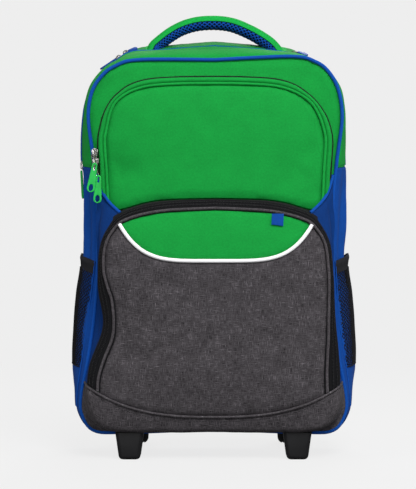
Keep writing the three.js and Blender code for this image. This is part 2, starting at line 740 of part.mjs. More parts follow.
function buildZipFittings() {
  const seats = bodyClear.add(upperClear);
  const down = new THREE.Vector3(0, 0, -1);
  for (const row of HANGING_SLIDERS) {
    const half = HANGING.sliderHalf;
    const body = boxBetween([row.x - half, HANGING.sliderFront, row.bottom], [row.x + half, -66, row.top]);
    const left = row.x + row.lean - HANGING.tongueHalf;
    const right = row.x + row.lean + HANGING.tongueHalf;
    const tongueBack = row.front + HANGING.tongueDepth;
    const tongue = boxBetween([left, row.front, row.tongue], [right, tongueBack, row.bottom + 2]);
    const neck = boxBetween([left, row.front, row.bottom], [right, HANGING.sliderFront + 1, row.bottom + 2]);
    addPiece(row.name, largest(body.add(tongue).add(neck).subtract(seats)), "steel");
  }
  for (const row of HANGING_PULLS) {
    const along = new THREE.Vector3(Math.sin(row.lean), 0, -Math.cos(row.lean));
    const across = new THREE.Vector3(-along.z, 0, along.x);
    const shape = pullShape(row.length, HANGING.pullHalf);
    const origin = new THREE.Vector3(row.x, row.y, row.z);
    addPiece(row.name, plate(shape, HANGING.pullThick, origin, along, across), "greenRubber");
  }
  for (const row of LYING_SLIDERS) {
    const low = [row.x - row.half, LYING.y - LYING.sliderHalf, topZ(row.x, LYING.y) - 8];
    const high = [row.x + row.half, LYING.y + LYING.sliderHalf, topZ(row.x, LYING.y) + LYING.sliderThick];
    addPiece(row.name, boxBetween(low, high).subtract(mainClear), "steel");
  }
  for (const row of LYING_PULLS) {
    const steps = 4;
    const rings = [];
    for (let i = 0; i <= steps; i++) {
      const x = row.from + ((row.to - row.from) * i) / steps;
      const bottom = topZ(x, LYING.y) + 0.5 + row.lift * Math.sin((Math.PI * i) / steps);
      const high = bottom + LYING.pullThick;
      rings.push([
        new THREE.Vector3(x, LYING.y - LYING.pullHalf, bottom),
        new THREE.Vector3(x, LYING.y + LYING.pullHalf, bottom),
        new THREE.Vector3(x, LYING.y + LYING.pullHalf, high),
        new THREE.Vector3(x, LYING.y - LYING.pullHalf, high),
      ]);
    }
    addPiece(row.name, solidOf(loft(rings)).subtract(mainClear), "blueRubber");
  }
  const reach = sideX(SIDE_PULL.y, SIDE_PULL.top);
  const half = SIDE_PULL.sliderHalf;
  const outer = [-reach - half, SIDE_PULL.y - half, SIDE_PULL.top];
  const inner = [-reach + half, SIDE_PULL.y + half, SIDE_PULL.sliderTop];
  addPiece("side_slider", boxBetween(outer, inner).subtract(mainClear), "steel");
  const shape = pullShape(SIDE_PULL.top - GAP - SIDE_PULL.bottom, SIDE_PULL.half);
  const origin = new THREE.Vector3(-reach - SIDE_PULL.thick - 2 * GAP, SIDE_PULL.y, SIDE_PULL.top - GAP);
  const pull = plate(shape, SIDE_PULL.thick, origin, down, new THREE.Vector3(0, 1, 0));
  addPiece("side_pull", pull.subtract(mainClear), "greenRubber");
}

// A ring with rounded corners at a height.
function footRing(x, row) {
  const halfX = row.half - row.in;
  const halfY = FOOT.halfDepth - row.in;
  const corner = FOOT.corner;
  const ring = [];
  for (let quarter = 0; quarter < 4; quarter++) {
    const toRight = quarter === 0 || quarter === 3 ? 1 : -1;
    const toBack = quarter < 2 ? 1 : -1;
    for (let i = 0; i <= 2; i++) {
      const angle = (Math.PI / 2) * (quarter + i / 2);
      const px = x + toRight * (halfX - corner) + corner * Math.cos(angle);
      const py = FOOT.y + toBack * (halfY - corner) + corner * Math.sin(angle);
      ring.push(new THREE.Vector3(px, py, row.z));
    }
  }
  return ring;
}

// A solid turned about an axle along X, from a closed profile of { r, x }.
function turned(profile, steps) {
  const rings = [];
  for (let i = 0; i < steps; i++) {
    const angle = (2 * Math.PI * i) / steps;
    rings.push(profile.map((p) => new THREE.Vector3(p.x, p.r * Math.cos(angle), p.r * Math.sin(angle))));
  }
  return loft(rings, true);
}

// A plain cylinder along X at the axle's place.
function axleBar(x, halfLength, r) {
  const geometry = new THREE.CylinderGeometry(r, r, 2 * halfLength, WHEEL.steps).rotateZ(Math.PI / 2);
  return solidOf(geometry.translate(x, WHEEL.y, WHEEL.r));
}

function wheelProfile() {
  const { r, half, shoulder, bore } = WHEEL;
  const slope = shoulder * 0.29;
  return [
    { r: bore, x: -half },
    { r: r - shoulder, x: -half },
    { r: r - slope, x: -half + slope },
    { r, x: -half + shoulder },
    { r, x: half - shoulder },
    { r: r - slope, x: half - slope },
    { r: r - shoulder, x: half },
    { r: bore, x: half },
  ];
}

function bracketSolid(x) {
  const shape = new THREE.Shape();
  const axleY = WHEEL.y;
  const axleZ = WHEEL.r;
  shape.moveTo(TUBE.front - GAP, BRACKET.seat);
  shape.lineTo(BRACKET.front, BRACKET.seat - 22);
  shape.lineTo(BRACKET.front, 46);
  shape.lineTo(axleY - BRACKET.hub, axleZ);
  shape.absarc(axleY, axleZ, BRACKET.hub, Math.PI, 2 * Math.PI);
  shape.lineTo(axleY + BRACKET.hub, axleZ + 34);
  shape.lineTo(TUBE.front + TUBE.depth + 2, BRACKET.seat);
  shape.closePath();
  const origin = new THREE.Vector3(x - BRACKET.half, 0, 0);
  const toBack = new THREE.Vector3(0, 1, 0);
  const up = new THREE.Vector3(0, 0, 1);
  const block = plate(shape, 2 * BRACKET.half, origin, toBack, up);
  const room = axleBar(x, WHEEL.half + BRACKET.side, WHEEL.r + BRACKET.room);
  const bore = axleBar(x, 2 * BRACKET.half, WHEEL.bore);
  return largest(block.subtract(room).subtract(bore).subtract(bodyClear));
}

function buildRunningGear() {
  const seats = bodyClear.add(pocketClear);
  const frontOfTube = TUBE.front + TUBE.wall;
  const backOfTube = TUBE.front + TUBE.depth - TUBE.wall;
  const socketTop = TUBE.top + GRIP.socket;
  let grip = gripSolid();
  for (const [end, side] of [["left", -1], ["right", 1]]) {
    const rings = FOOT_ROWS.map((row) => footRing(side * FOOT.x, row));
    addPiece("foot_" + end, largest(solidOf(loft(rings)).subtract(seats)), "plastic");
    const x = side * WHEEL.x;
    addPiece("wheel_" + end, turned(wheelProfile(), WHEEL.steps).translate(x, WHEEL.y, WHEEL.r), "plastic");
    addPiece("axle_" + end, axleBar(x, AXLE.half, AXLE.r), "steel");
    addPiece("wheel_bracket_" + end, bracketSolid(x), "plastic");

    const tubeX = side * TUBE.x;
    const bore = TUBE.halfX - TUBE.wall;
    const outside = [[tubeX - TUBE.halfX, TUBE.front], [tubeX + TUBE.halfX, TUBE.front + TUBE.depth]];
    const tube = boxBetween([...outside[0], TUBE.bottom], [...outside[1], TUBE.top]);
    const inside = boxBetween([tubeX - bore, frontOfTube, 0], [tubeX + bore, backOfTube, 900]);
    addPiece("pull_tube_" + end, tube.subtract(inside), "plastic");
    const rodLow = [tubeX - bore + GAP, frontOfTube + GAP, ROD_BOTTOM];
    const rodHigh = [tubeX + bore - GAP, backOfTube - GAP, socketTop - GAP];
    addPiece("pull_rod_" + end, boxBetween(rodLow, rodHigh), "steel");
    grip = grip.subtract(boxBetween([tubeX - bore, frontOfTube, 0], [tubeX + bore, backOfTube, socketTop]));
  }
  addPiece("pull_grip", grip, "plastic");
}

// The bar across the top of the pull handle, with rounded ends.
function gripSolid() {
  const shape = new THREE.Shape();
  const low = TUBE.top + GAP;
  const { half, corner, top } = GRIP;
  shape.moveTo(-half, low);
  shape.lineTo(half, low);
  shape.lineTo(half, top - corner);
  shape.absarc(half - corner, top - corner, corner, 0, Math.PI / 2);
  shape.lineTo(-half + corner, top);
  shape.absarc(-half + corner, top - corner, corner, Math.PI / 2, Math.PI);
  shape.closePath();
  const origin = new THREE.Vector3(0, GRIP.back, 0);
  return plate(shape, GRIP.back - GRIP.front, origin, new THREE.Vector3(1, 0, 0), new THREE.Vector3(0, 0, 1));
}

buildMain();
buildLowerPocket();
buildUpperPocket();
buildSidePockets();
buildTopHandle();
buildZipFittings();
buildRunningGear();

export default bag;
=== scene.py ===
"""Builds the cloth, zips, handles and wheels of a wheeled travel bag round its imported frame."""

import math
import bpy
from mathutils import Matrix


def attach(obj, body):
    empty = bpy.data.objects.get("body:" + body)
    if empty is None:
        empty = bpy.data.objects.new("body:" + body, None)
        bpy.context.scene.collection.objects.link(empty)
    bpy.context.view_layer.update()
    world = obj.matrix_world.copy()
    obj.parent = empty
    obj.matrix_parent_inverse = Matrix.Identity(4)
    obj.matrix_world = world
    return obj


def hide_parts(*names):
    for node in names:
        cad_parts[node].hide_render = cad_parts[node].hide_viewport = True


bl_info = {
    "name": "Wheeled travel bag",
    "version": (1, 0, 0),
    "blender": (4, 5, 0),
    "location": "View3D > Sidebar > Travel bag",
    "description": "Makes a soft wheeled bag with front pockets, net side pockets, zips and a pull handle",
    "category": "Add Mesh",
}

from types import SimpleNamespace as Sizes

import bmesh
import bpy
import numpy as np
from bpy.props import FloatProperty, FloatVectorProperty, PointerProperty
from mathutils import Matrix, Vector, geometry, noise

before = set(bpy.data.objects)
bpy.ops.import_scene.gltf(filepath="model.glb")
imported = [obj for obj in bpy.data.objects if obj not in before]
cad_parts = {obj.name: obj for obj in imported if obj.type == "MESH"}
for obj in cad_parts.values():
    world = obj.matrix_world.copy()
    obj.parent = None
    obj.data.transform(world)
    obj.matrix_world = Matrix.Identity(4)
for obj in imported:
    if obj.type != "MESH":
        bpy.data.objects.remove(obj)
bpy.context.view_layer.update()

# Shapes are worked out in millimetres and made in metres.
MM = 0.001
BAG_MIDDLE = np.array([0.0, 0.0, 260.0])
SIDES = ((-1, "left"), (1, "right"))


def table(columns, *rows):
    """A short table, as one array for each named column."""
    return Sizes(**dict(zip(columns.split(), np.array(rows, float).T)))


def rows_of(columns):
    """A table's rows."""
    return zip(*vars(columns).values())


# Right halves of the outlines, from the bottom centre to the top centre.
SEAM = table("x z", (0, 34), (112, 29.8), (146, 32.6), (159.5, 51), (161, 74), (151, 130), (144.3, 190),
             (143, 300), (148, 360), (154.5, 412), (150.3, 445), (138.5, 466), (122, 478.5), (93, 485.5), (0, 483.5))
BODY = table("x z", (0, 26), (118, 26), (151, 29.5), (168, 48.5), (171.5, 74), (167, 130), (164, 190), (164, 300),
             (165, 360), (164.2, 410), (158.8, 446.4), (146, 469.3), (125, 486.4), (92, 499), (0, 507))
UPPER = table("x z", (0, 250), (90, 250), (128, 262), (137, 300), (140, 350), (142, 383), (139.5, 400), (134.5, 416),
              (125, 432), (112.5, 444), (98, 453), (76, 459), (40, 461.5), (0, 462))
# The soft top leans a little to the right, and so do the seams and pockets on the front from lower down.
LEAN = table("z x", (250, 0), (282, 1.5), (335, 1.5), (375, 0.3), (450, 1.4))
FRONT_LEAN = Sizes(x=2.2, low=150, high=230)
# The left side lies a little further in above its net pocket.
LEFT_TUCK = table("z x", (242, 0), (272, 1.2), (330, 1.4), (358, 0))
# The front seam's top rises to the right, and the upper pocket's top turns back to the left.
SEAM_TILT = Sizes(slope=0.022, low=425, high=482)
UPPER_TURN = Sizes(share=1.6, low=395, high=455)
# The upper pocket's edge looks narrower round its corners.
UPPER_CORNER = Sizes(x=118, z=432, wide=22, tall=20, less=0.3)
# The top stands up under the sliders on its left, and behind the handle's feet.
TOP_PUFFS = table("x y height wide deep", (-106, 8, 4.5, 20, 16), (-93, 42, 3.4, 17, 14), (98, 42, 2.6, 17, 14))
PUFFS_FROM_Z = 427
POCKET_BACK = table("x z", (0, 33), (110, 33), (140, 39), (156, 58), (157, 86), (148, 132), (142, 200),
                    (140.5, 300), (141, 337), (128, 313), (113, 304), (70, 313), (0, 314))
POCKET_FRONT = table("x z", (0, 33), (106, 33), (136, 40), (150, 60), (152.5, 92), (150.5, 130), (145.3, 180),
                     (142, 225), (138.3, 258), (128.3, 280.5), (111.3, 297.5), (68, 309.5), (0, 313.5))
# How wide the lower pocket's zip band looks at each height, where its cloth turns away or towards the front.
BAND_RIGHT = table("z share", (40, 0.6), (70, 1.3), (100, 1.4), (122, 1.25), (156, 0.86), (190, 0.62), (225, 0.52),
                   (262, 0.54), (285, 0.68), (300, 0.86), (314, 0.94))
BAND_LEFT = table("z share", (40, 0.6), (70, 1.1), (96, 1.15), (122, 1.25), (146, 1.25), (168, 1.12), (190, 1.22),
                  (210, 0.96), (230, 0.62), (245, 0.55), (262, 0.56), (285, 0.68), (300, 0.86), (314, 0.94))
# The main compartment from front to back: body blends the seam's outline into the body's, grow widens it, lift
# raises the middle of its top and rise its bottom.
MAIN = table("y body grow lift rise", (-68, 0, 0, 0, 0), (-58, 0.4, 0, 0, 0), (-38, 0.83, 0, 0, 0),
             (8, 1, 0, 2, 0), (36, 1, 0, 10.2, 2), (50, 1, -1, 12.4, 12), (59, 1, -5, 10, 25), (64, 1, -12, 3.5, 40))
MID_Z = 260
TOP_Z = 507
BODY_HALF = 166
# Distances between the cloth's points: within it, and along its edges.
ROW_STEP = 4.5
EDGE_STEP = 4
# A step along a curve to find its direction.
NEAR = 1e-3
FRONT_SEAM_Y = -68
BACK_SEAM_Y = 64
ZIP_Y = (3, 13)
ZIP_MIDDLE = 8
COLOUR_SEAM = Sizes(z=358.5, slope=0.1, gap=0.2)

POCKET_DENT = Sizes(depth=15.8, z=161, reach=36)
BASE_EDGE = Sizes(bottom=52.5, half=155, rise=38, flatness=2.7)
YOKE_EDGE = Sizes(bottom=239, middle=2.9, half=116, rise=45, flatness=4.6)
ZIP_BAND = 12
SEAM_HALF = 1.2
# How far the lower and the upper pocket's fronts swell from the depth at which they are sewn in.
POCKET_PUFF = Sizes(y=-105, puff=11)
UPPER_PUFF = Sizes(y=-81, puff=9, inset=9)
# Across the lower pocket's rounded edge, from its front face to its back.
POCKET_EDGE = table("front inset y", (1, 12, -105), (1, 8, -104.2), (1, 4.4, -102.3), (1, 1.6, -99.8), (1, 0.2, -97),
                    (0.75, 0, -91), (0.5, 0, -84), (0.2, 0, -76), (0, 0, -70.9))
# Across its zip band: a rolled rim, two seats for the coils and the ridge between them.
ZIP_BAND_ROWS = table("inset y", (0.4, -96.2), (0.1, -98.2), (1.1, -100.2), (2.6, -100.9), (3.6, -100.9),
                      (5.2, -101.7), (6.1, -102.6), (6.9, -102.7), (8.3, -103.3), (9.8, -103.4), (11.6, -102.9))
WING_EDGE = table("x y z", (143.4, -69.6, 343), (140, -73, 331.5), (135, -79, 319), (126.5, -86, 308),
                  (114.5, -94, 297))
# Across the upper pocket's edge: its wall, and the fold that covers its zip.
UPPER_BAND_ROWS = table("inset y", (0.6, -72.6), (0.1, -75.4), (0.5, -78.2), (1.9, -80.3), (3.6, -80.9), (5.2, -80.4),
                        (6.6, -78.8))
HANDLE_ARCH = table("x z", (-87, 496), (-82.3, 512.5), (-73.5, 522), (-60, 532.3), (-43.3, 541.8), (-22, 548),
                    (2, 549.6), (24.3, 547), (45, 539.4), (64.5, 529), (81, 516.8), (94.5, 498.2))
HANDLE = Sizes(y=30, half=15, cover=7.9, filling=8.2, length=260)
# The air mesh's threads along the handle: its length, how far each leans along it, and their radius.
AIR_MESH = Sizes(length=250, lean=30, radius=0.62)
# How far a side pocket stands off the bag at each height.
SIDE_STAND = table("z stand", (60, 0.2), (74, 0.9), (90, 4), (108, 7.4), (130, 9), (160, 9.2), (190, 7.6), (222, 3.4),
                   (238, 2.6))
SIDE_POCKET = Sizes(half=55, bottom=60, net=108, elastic=222, top=238, seat=0.8, rise=10,
                    fuller_right=1.22, forward=10, filling=0.8, lean=1.6)


# Curves and surfaces.

def unit(vectors):
    """Vectors made one long."""
    return vectors / np.linalg.norm(vectors, axis=-1, keepdims=True)


def left_of(along):
    """Directions to the left of [x, z] directions."""
    return np.stack([-along[..., 1], along[..., 0]], -1)


def shares_round(count):
    """Even shares once round a ring."""
    return np.linspace(0, 1, count, endpoint=False)


def ramp(value, low, high):
    """A share that goes evenly from 0 at a low value to 1 at a high one."""
    return np.clip((value - low) / (high - low), 0, 1)


def bell(distance, width):
    """A smooth bump: 1 at no distance, and little at twice its width."""
    return np.exp(-((distance / width) ** 2))


def through(columns, share):
    """Points on a smooth curve through a table's rows, at shares of its number of rows."""
    rows = np.stack(list(vars(columns).values()), -1)
    last = len(rows) - 1
    place = np.clip(np.asarray(share, float), 0, 1) * last
    row = np.minimum(place.astype(int), last - 1)
    w = (place - row)[..., None]
    before, start = rows[np.maximum(row - 1, 0)], rows[row]
    end, after = rows[row + 1], rows[np.minimum(row + 2, last)]
    leave = (end - before) / 2
    arrive = (after - start) / 2
    cubic = 2 * start - 2 * end + leave + arrive
    square = -3 * start + 3 * end - 2 * leave - arrive
    return cubic * w**3 + square * w**2 + leave * w + start


def ring(outline, share):
    """[x, z] points round a whole outline: 0 is the bottom centre, a half the top, and the right side comes first."""
    share = np.asarray(share, float) % 1
    points = through(outline, np.where(share <= 0.5, 2 * share, 2 - 2 * share))
    points[..., 0] *= np.where(share <= 0.5, 1, -1)
    return points


def risen(z, span):
    """A smooth step from 0 below a span's low to 1 above its high."""
    up = ramp(z, span.low, span.high)
    return up**2 * (3 - 2 * up)


def front_ring(outline, share):
    """The same for an outline on the front, which leans from lower down and tilts at its top."""
    points = ring(outline, share)
    points[..., 0] += FRONT_LEAN.x * risen(points[..., 1], FRONT_LEAN)
    points[..., 1] += SEAM_TILT.slope * points[..., 0] * risen(points[..., 1], SEAM_TILT)
    return points


def lengths_along(points):
    """The length of a line up to each of its points."""
    steps = np.linalg.norm(np.diff(points, axis=0), axis=1)
    return np.concatenate([[0], np.cumsum(steps)])


def evenly_round(outline):
    """A function from even shares of an outline's length to the shares that ring() takes, and that length."""
    share = np.linspace(0, 1, 2001)
    length = lengths_along(ring(outline, share - 1e-9))
    return (lambda even: np.interp(even % 1, length / length[-1], share)), length[-1]


def smooth_between(columns, wanted, column=0):
    """Values between a table's rows, with no overshoot: its first column is where, and then come the values."""
    at, *every = vars(columns).values()
    values = every[column]
    step = np.diff(at)
    slope = np.diff(values) / step
    product = slope[1:] * slope[:-1]
    mean = 2 * product / np.where(product > 0, slope[1:] + slope[:-1], 1)
    tangent = np.concatenate([slope[:1], np.where(product > 0, mean, 0), slope[-1:]])
    wanted = np.clip(wanted, at[0], at[-1])
    row = np.clip(np.searchsorted(at, wanted, side="right") - 1, 0, len(at) - 2)
    w = (wanted - at[row]) / step[row]
    rise = values[row + 1] - values[row]
    curve = (tangent[row] * step[row] * w * (1 - w) ** 2) - (tangent[row + 1] * step[row] * w**2 * (1 - w))
    return values[row] + rise * w**2 * (3 - 2 * w) + curve


body_share, BODY_ROUND = evenly_round(BODY)
upper_share = evenly_round(UPPER)[0]
pocket_share = evenly_round(POCKET_FRONT)[0]


def seam_ring(share):
    """[x, z] points round the front seam at even shares."""
    return front_ring(SEAM, body_share(share))


def main_at(share, y):
    """Points on the main compartment's side at even shares round it and depths."""
    share, y = np.broadcast_arrays(np.asarray(share, float), np.asarray(y, float))
    body, grow, lift, rise = (smooth_between(MAIN, y, column) for column in range(4))
    flat = ring(BODY, body_share(share))
    tuck = np.where(flat[..., 0] < 0, smooth_between(LEFT_TUCK, flat[..., 1]), 0)
    flat[..., 0] += smooth_between(LEAN, flat[..., 1]) + tuck
    flat = seam_ring(share) * (1 - body)[..., None] + flat * body[..., None]
    x, z = flat[..., 0], flat[..., 1]
    above = np.maximum(0, (z - MID_Z) / (TOP_Z - MID_Z))
    below = np.maximum(0, (MID_Z - z) / MID_Z)
    puff = sum(height * bell(x - at_x, wide) * bell(y - at_y, deep)
               for at_x, at_y, height, wide, deep in rows_of(TOP_PUFFS))
    crown = np.maximum(0, 1 - np.abs(x / BODY_HALF) ** 3.2)
    z = z + lift * above * crown + rise * below + puff * (z > PUFFS_FROM_Z)
    return np.stack([x * (1 + grow / BODY_HALF), y, z], -1)


def share_at_height(y, z):
    """The even share up the right side at which the main compartment reaches a height, for one depth."""
    share = np.linspace(0.1, 0.43, 400)
    return np.interp(z, main_at(share, y)[:, 2], share)


def colour_seam_share(y, above=0.0):
    """The share at which the green meets the blue at each depth, or a distance above it."""
    levels = [share_at_height(v, COLOUR_SEAM.z + COLOUR_SEAM.slope * v) for v in np.atleast_1d(y)]
    return np.array(levels) + above / BODY_ROUND


def drawn_in(curve, share, distance):
    """Points of a ring of [x, z] moved in, square to it."""
    along = unit(curve(share + NEAR) - curve(share - NEAR))
    return curve(share) + left_of(along) * np.asarray(distance, float)[..., None]


def band_share(flat):
    """How wide the lower pocket's zip band looks at [x, z] points, as a share of its full width."""
    x, z = flat[..., 0], flat[..., 1]
    right, left = (smooth_between(rows, z) for rows in (BAND_RIGHT, BAND_LEFT))
    return left + (right - left) * np.clip(0.5 + x / 120, 0, 1)


def pocket_ring(share, front=1.0, inset=0.0):
    """[x, z] points round the lower pocket, between its back outline and its front one with the slack left edge."""
    share, front, inset = np.broadcast_arrays(np.asarray(share, float), front, inset)

    def blended(even):
        place = pocket_share(even)
        flat = front_ring(POCKET_FRONT, place)
        near = bell(flat[..., 1] - POCKET_DENT.z, POCKET_DENT.reach)
        flat[..., 0] += POCKET_DENT.depth * near * np.maximum(0, -flat[..., 0] / BODY_HALF)
        return front_ring(POCKET_BACK, place) * (1 - front)[..., None] + flat * front[..., None]

    return drawn_in(blended, share, inset * band_share(blended(share)))


def upper_outline(share):
    """[x, z] points round the upper pocket at even shares."""
    points = ring(UPPER, upper_share(share))
    points[..., 0] += FRONT_LEAN.x * (1 - UPPER_TURN.share * risen(points[..., 1], UPPER_TURN))
    return points


def upper_ring(share, inset=0.0):
    """The same points drawn in."""
    share, inset = np.broadcast_arrays(np.asarray(share, float), inset)
    flat = upper_outline(share)
    across = bell(np.abs(flat[..., 0]) - UPPER_CORNER.x, UPPER_CORNER.wide)
    corner = across * bell(flat[..., 1] - UPPER_CORNER.z, UPPER_CORNER.tall)
    return drawn_in(upper_outline, share, inset * (1 - UPPER_CORNER.less * corner))


def base_edge(x):
    """Height of the base panel's upper edge."""
    return BASE_EDGE.bottom + BASE_EDGE.rise * np.abs(x / BASE_EDGE.half) ** BASE_EDGE.flatness


def yoke_edge(x):
    """Height of the yoke's lower edge."""
    across = np.abs((x - YOKE_EDGE.middle) / YOKE_EDGE.half)
    return YOKE_EDGE.bottom + YOKE_EDGE.rise * across ** YOKE_EDGE.flatness


def wing_edge(x):
    """Height of the wings' upper edges."""
    return np.interp(np.abs(x - FRONT_LEAN.x), WING_EDGE.x[::-1], WING_EDGE.z[::-1])


def wing_line(side, share):
    """Points along a wing's upper edge."""
    return through(WING_EDGE, share) * np.array([side, 1, 1]) + np.array([FRONT_LEAN.x, 0, 0])


def crossing(curve, line, low, high):
    """The share between two at which a curve of [x, z] points first meets a line z(x)."""
    share = np.linspace(low, high, 600)
    flat = curve(share)
    gap = flat[:, 1] - line(flat[:, 0])
    i = np.flatnonzero(gap[:-1] * gap[1:] <= 0)[0]
    return share[i] - gap[i] * (share[i + 1] - share[i]) / (gap[i + 1] - gap[i])


def both_ends(curve, line, low, high):
    """The shares at which a ring of [x, z] points meets a line z(x): on the right, and on the left past the top."""
    return crossing(curve, line, low, high), crossing(curve, line, 1 - low, 1 - high)


def fill_of(flat, edge):
    """How far out [x, z] points lie between the middle of an edge's height, 0, and the edge, 1."""
    middle = np.array([0, (edge[:, 1].min() + edge[:, 1].max()) / 2])
    spokes = edge - middle
    turn = np.arctan2(spokes[:, 1], spokes[:, 0])
    order = np.argsort(turn)
    away = flat - middle
    reach = np.interp(np.arctan2(away[..., 1], away[..., 0]), turn[order],
                      np.linalg.norm(spokes, axis=1)[order], period=2 * math.pi)
    return np.linalg.norm(away, axis=-1) / reach


def puffed(flat, edge, y, puff):
    """Depths of a panel that is sewn in at a depth round its edge, and swells forwards within it."""
    return y - puff * (1 - np.minimum(fill_of(flat, edge), 1) ** 4)


POCKET_FACE_EDGE = pocket_ring(shares_round(400), 1, ZIP_BAND)
UPPER_FACE_EDGE = upper_ring(shares_round(400), UPPER_PUFF.inset)


def pocket_face(flat):
    """Depth of the lower pocket's front."""
    return puffed(flat, POCKET_FACE_EDGE, POCKET_PUFF.y, POCKET_PUFF.puff)


def upper_face(flat):
    """Depth of the upper pocket's front."""
    return puffed(flat, UPPER_FACE_EDGE, UPPER_PUFF.y, UPPER_PUFF.puff)


def resampled(line, step):
    """Points along a line, evenly about a step apart."""
    length = lengths_along(line)
    count = max(2, round(length[-1] / step) + 1)
    even = np.linspace(0, length[-1], count)
    return np.stack([np.interp(even, length, line[:, k]) for k in range(line.shape[1])], -1)


def eased(count):
    """Shares from 0 to 1 that lie closer together at both ends."""
    share = np.linspace(0, 1, count)
    return share - 0.55 * np.sin(2 * math.pi * share) / (2 * math.pi)


def on_depth(flat, y):
    """[x, z] points stood up at depths."""
    return np.stack([flat[..., 0], np.broadcast_to(y, flat.shape[:-1]), flat[..., 1]], -1)


# Cloth details.

# The direction out of the bag's front.
FORWARD = (0.0, -1.0, 0.0)


def facing(line, out=FORWARD):
    """A line with the direction that it faces at each of its points."""
    return line, np.tile(out, (len(line), 1))


def inner_line(start, stop, count, line):
    """[x, z] points along a line z(x) between two places across, without its ends."""
    x = np.linspace(start, stop, count)[1:-1]
    return np.stack([x, line(x)], -1)


def ripples(points, size, height, seed):
    """Soft unevenness of a given size."""
    shift = Vector((seed * 7.3, seed * 3.1, seed * 5.7))
    return height * np.array([noise.noise(Vector(p) / size + shift) for p in points])


def folds(a, b, rows):
    """Heights of folds along straight lines from (a0, b0) to (a1, b1)."""
    total = np.zeros(np.shape(a))
    for a0, b0, a1, b1, width, height in rows_of(rows):
        along = np.array([a1 - a0, b1 - b0])
        share = ((a - a0) * along[0] + (b - b0) * along[1]) / (along @ along)
        near = np.clip(share, 0, 1)
        away = np.hypot(a - a0 - near * along[0], b - b0 - near * along[1])
        total += height * bell(away, width) * (0.35 + 0.65 * np.sin(math.pi * near))
    return total


def folds_in(rows):
    """A function for the heights of folds at [x, z] points."""
    return lambda flat: folds(flat[:, 0], flat[:, 1], rows)


def dip(distance, depth, width):
    """The hollow that a seam draws into the cloth beside it."""
    return -depth * bell(distance, width)


def edge_measure(flat, edge):
    """Each [x, z] point's distance from a closed edge, and how far along it that is."""
    ends = np.roll(edge, -1, axis=0)
    along = ends - edge
    square = np.maximum((along**2).sum(1), 1e-9)
    length = np.concatenate([[0], np.cumsum(np.sqrt(square))])
    distance, place = np.empty(len(flat)), np.empty(len(flat))
    for i, p in enumerate(flat):
        share = np.clip(((p - edge) * along).sum(1) / square, 0, 1)
        gap = np.linalg.norm(edge + along * share[:, None] - p, axis=1)
        near = gap.argmin()
        distance[i] = gap[near]
        place[i] = length[near] + share[near] * math.sqrt(square[near])
    return distance, place


def puckers(distance, place, size, height, seed):
    """Small gathers that run in from a seam and fade."""
    wave = np.array([noise.noise(Vector((v / size, seed * 4.7, 0))) for v in place])
    return height * wave * np.exp(-distance / 9) * np.minimum(1, distance / 1.5)


# Meshes.

def face_normals(points, group):
    """Normals of triangles or quads, each twice as long as its face's area."""
    corners = points[group]
    return np.cross(corners[:, 2] - corners[:, 0], corners[:, -1] - corners[:, 1])


def vertex_normals(points, faces):
    """Normals at a mesh's points."""
    total = np.zeros_like(points)
    for group in faces:
        normal = face_normals(points, group)
        for k in range(group.shape[1]):
            np.add.at(total, group[:, k], normal)
    return total / np.maximum(np.linalg.norm(total, axis=1, keepdims=True), 1e-9)


def facing_out(points, faces, middle=BAG_MIDDLE):
    """The same faces, turned so that they point away from a middle."""
    if (vertex_normals(points, faces) * (points - middle)).sum() < 0:
        return [group[:, ::-1] for group in faces]
    return faces


def grid_faces(rows, columns, loop=False):
    """Quads of a grid of points, row by row. A loop joins the last row to the first."""
    spans = rows if loop else rows - 1
    near = (np.arange(spans)[:, None] * columns + np.arange(columns - 1)).ravel()
    far = (((np.arange(spans) + 1) % rows)[:, None] * columns + np.arange(columns - 1)).ravel()
    return [np.stack([near, near + 1, far + 1, far], 1)]


def grid_weave(across, along):
    """The cloth's directions on a grid of points, row by row."""
    return np.stack(np.meshgrid(across, along), -1).reshape(-1, 2)


def thickened(points, faces, wall):
    """A sheet as a closed wall: the sheet, a copy of it moved in, and the rim between them."""
    count = len(points)
    inner = points - vertex_normals(points, faces) * wall
    edges = np.concatenate([np.stack([g, np.roll(g, -1, axis=1)], -1).reshape(-1, 2) for g in faces])
    codes = edges[:, 0] * count + edges[:, 1]
    free = edges[~np.isin(edges[:, 1] * count + edges[:, 0], codes)]
    rim = np.stack([free[:, 1], free[:, 0], free[:, 0] + count, free[:, 1] + count], 1)
    return np.concatenate([points, inner]), [*faces, *[g[:, ::-1] + count for g in faces], rim]


# Ends the name of a piece that stands for the node before it.
STANDS_FOR = "_piece"


def link(name, data):
    """A new object for a mesh, a curve, a light or a camera."""
    obj = bpy.data.objects.new(name + STANDS_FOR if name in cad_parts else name, data)
    bpy.context.scene.collection.objects.link(obj)
    return obj


def smoothed(name, mesh, crease):
    """A new object for a mesh, shaded smooth but for its sharp edges."""
    mesh.shade_smooth()
    mesh.set_sharp_from_angle(angle=math.radians(crease))
    return link(name, mesh)


def mesh_object(name, points, faces, weave=None, crease=50):
    """An object from points in millimetres, with the cloth's own directions as its UV map."""
    mesh = bpy.data.meshes.new(name)
    mesh.from_pydata((points * MM).tolist(), [], [f for group in faces for f in group.tolist()])
    if weave is not None:
        layer = mesh.uv_layers.new(name="weave")
        corner = np.empty(len(mesh.loops), int)
        mesh.loops.foreach_get("vertex_index", corner)
        layer.data.foreach_set("uv", (weave[corner] * MM).ravel())
    mesh.validate()
    return smoothed(name, mesh, crease)


def plain_mesh(obj):
    """An object's evaluated shape as a plain mesh. The object goes."""
    depsgraph = bpy.context.evaluated_depsgraph_get()
    mesh = bpy.data.meshes.new_from_object(obj.evaluated_get(depsgraph), depsgraph=depsgraph)
    bpy.data.objects.remove(obj)
    return mesh


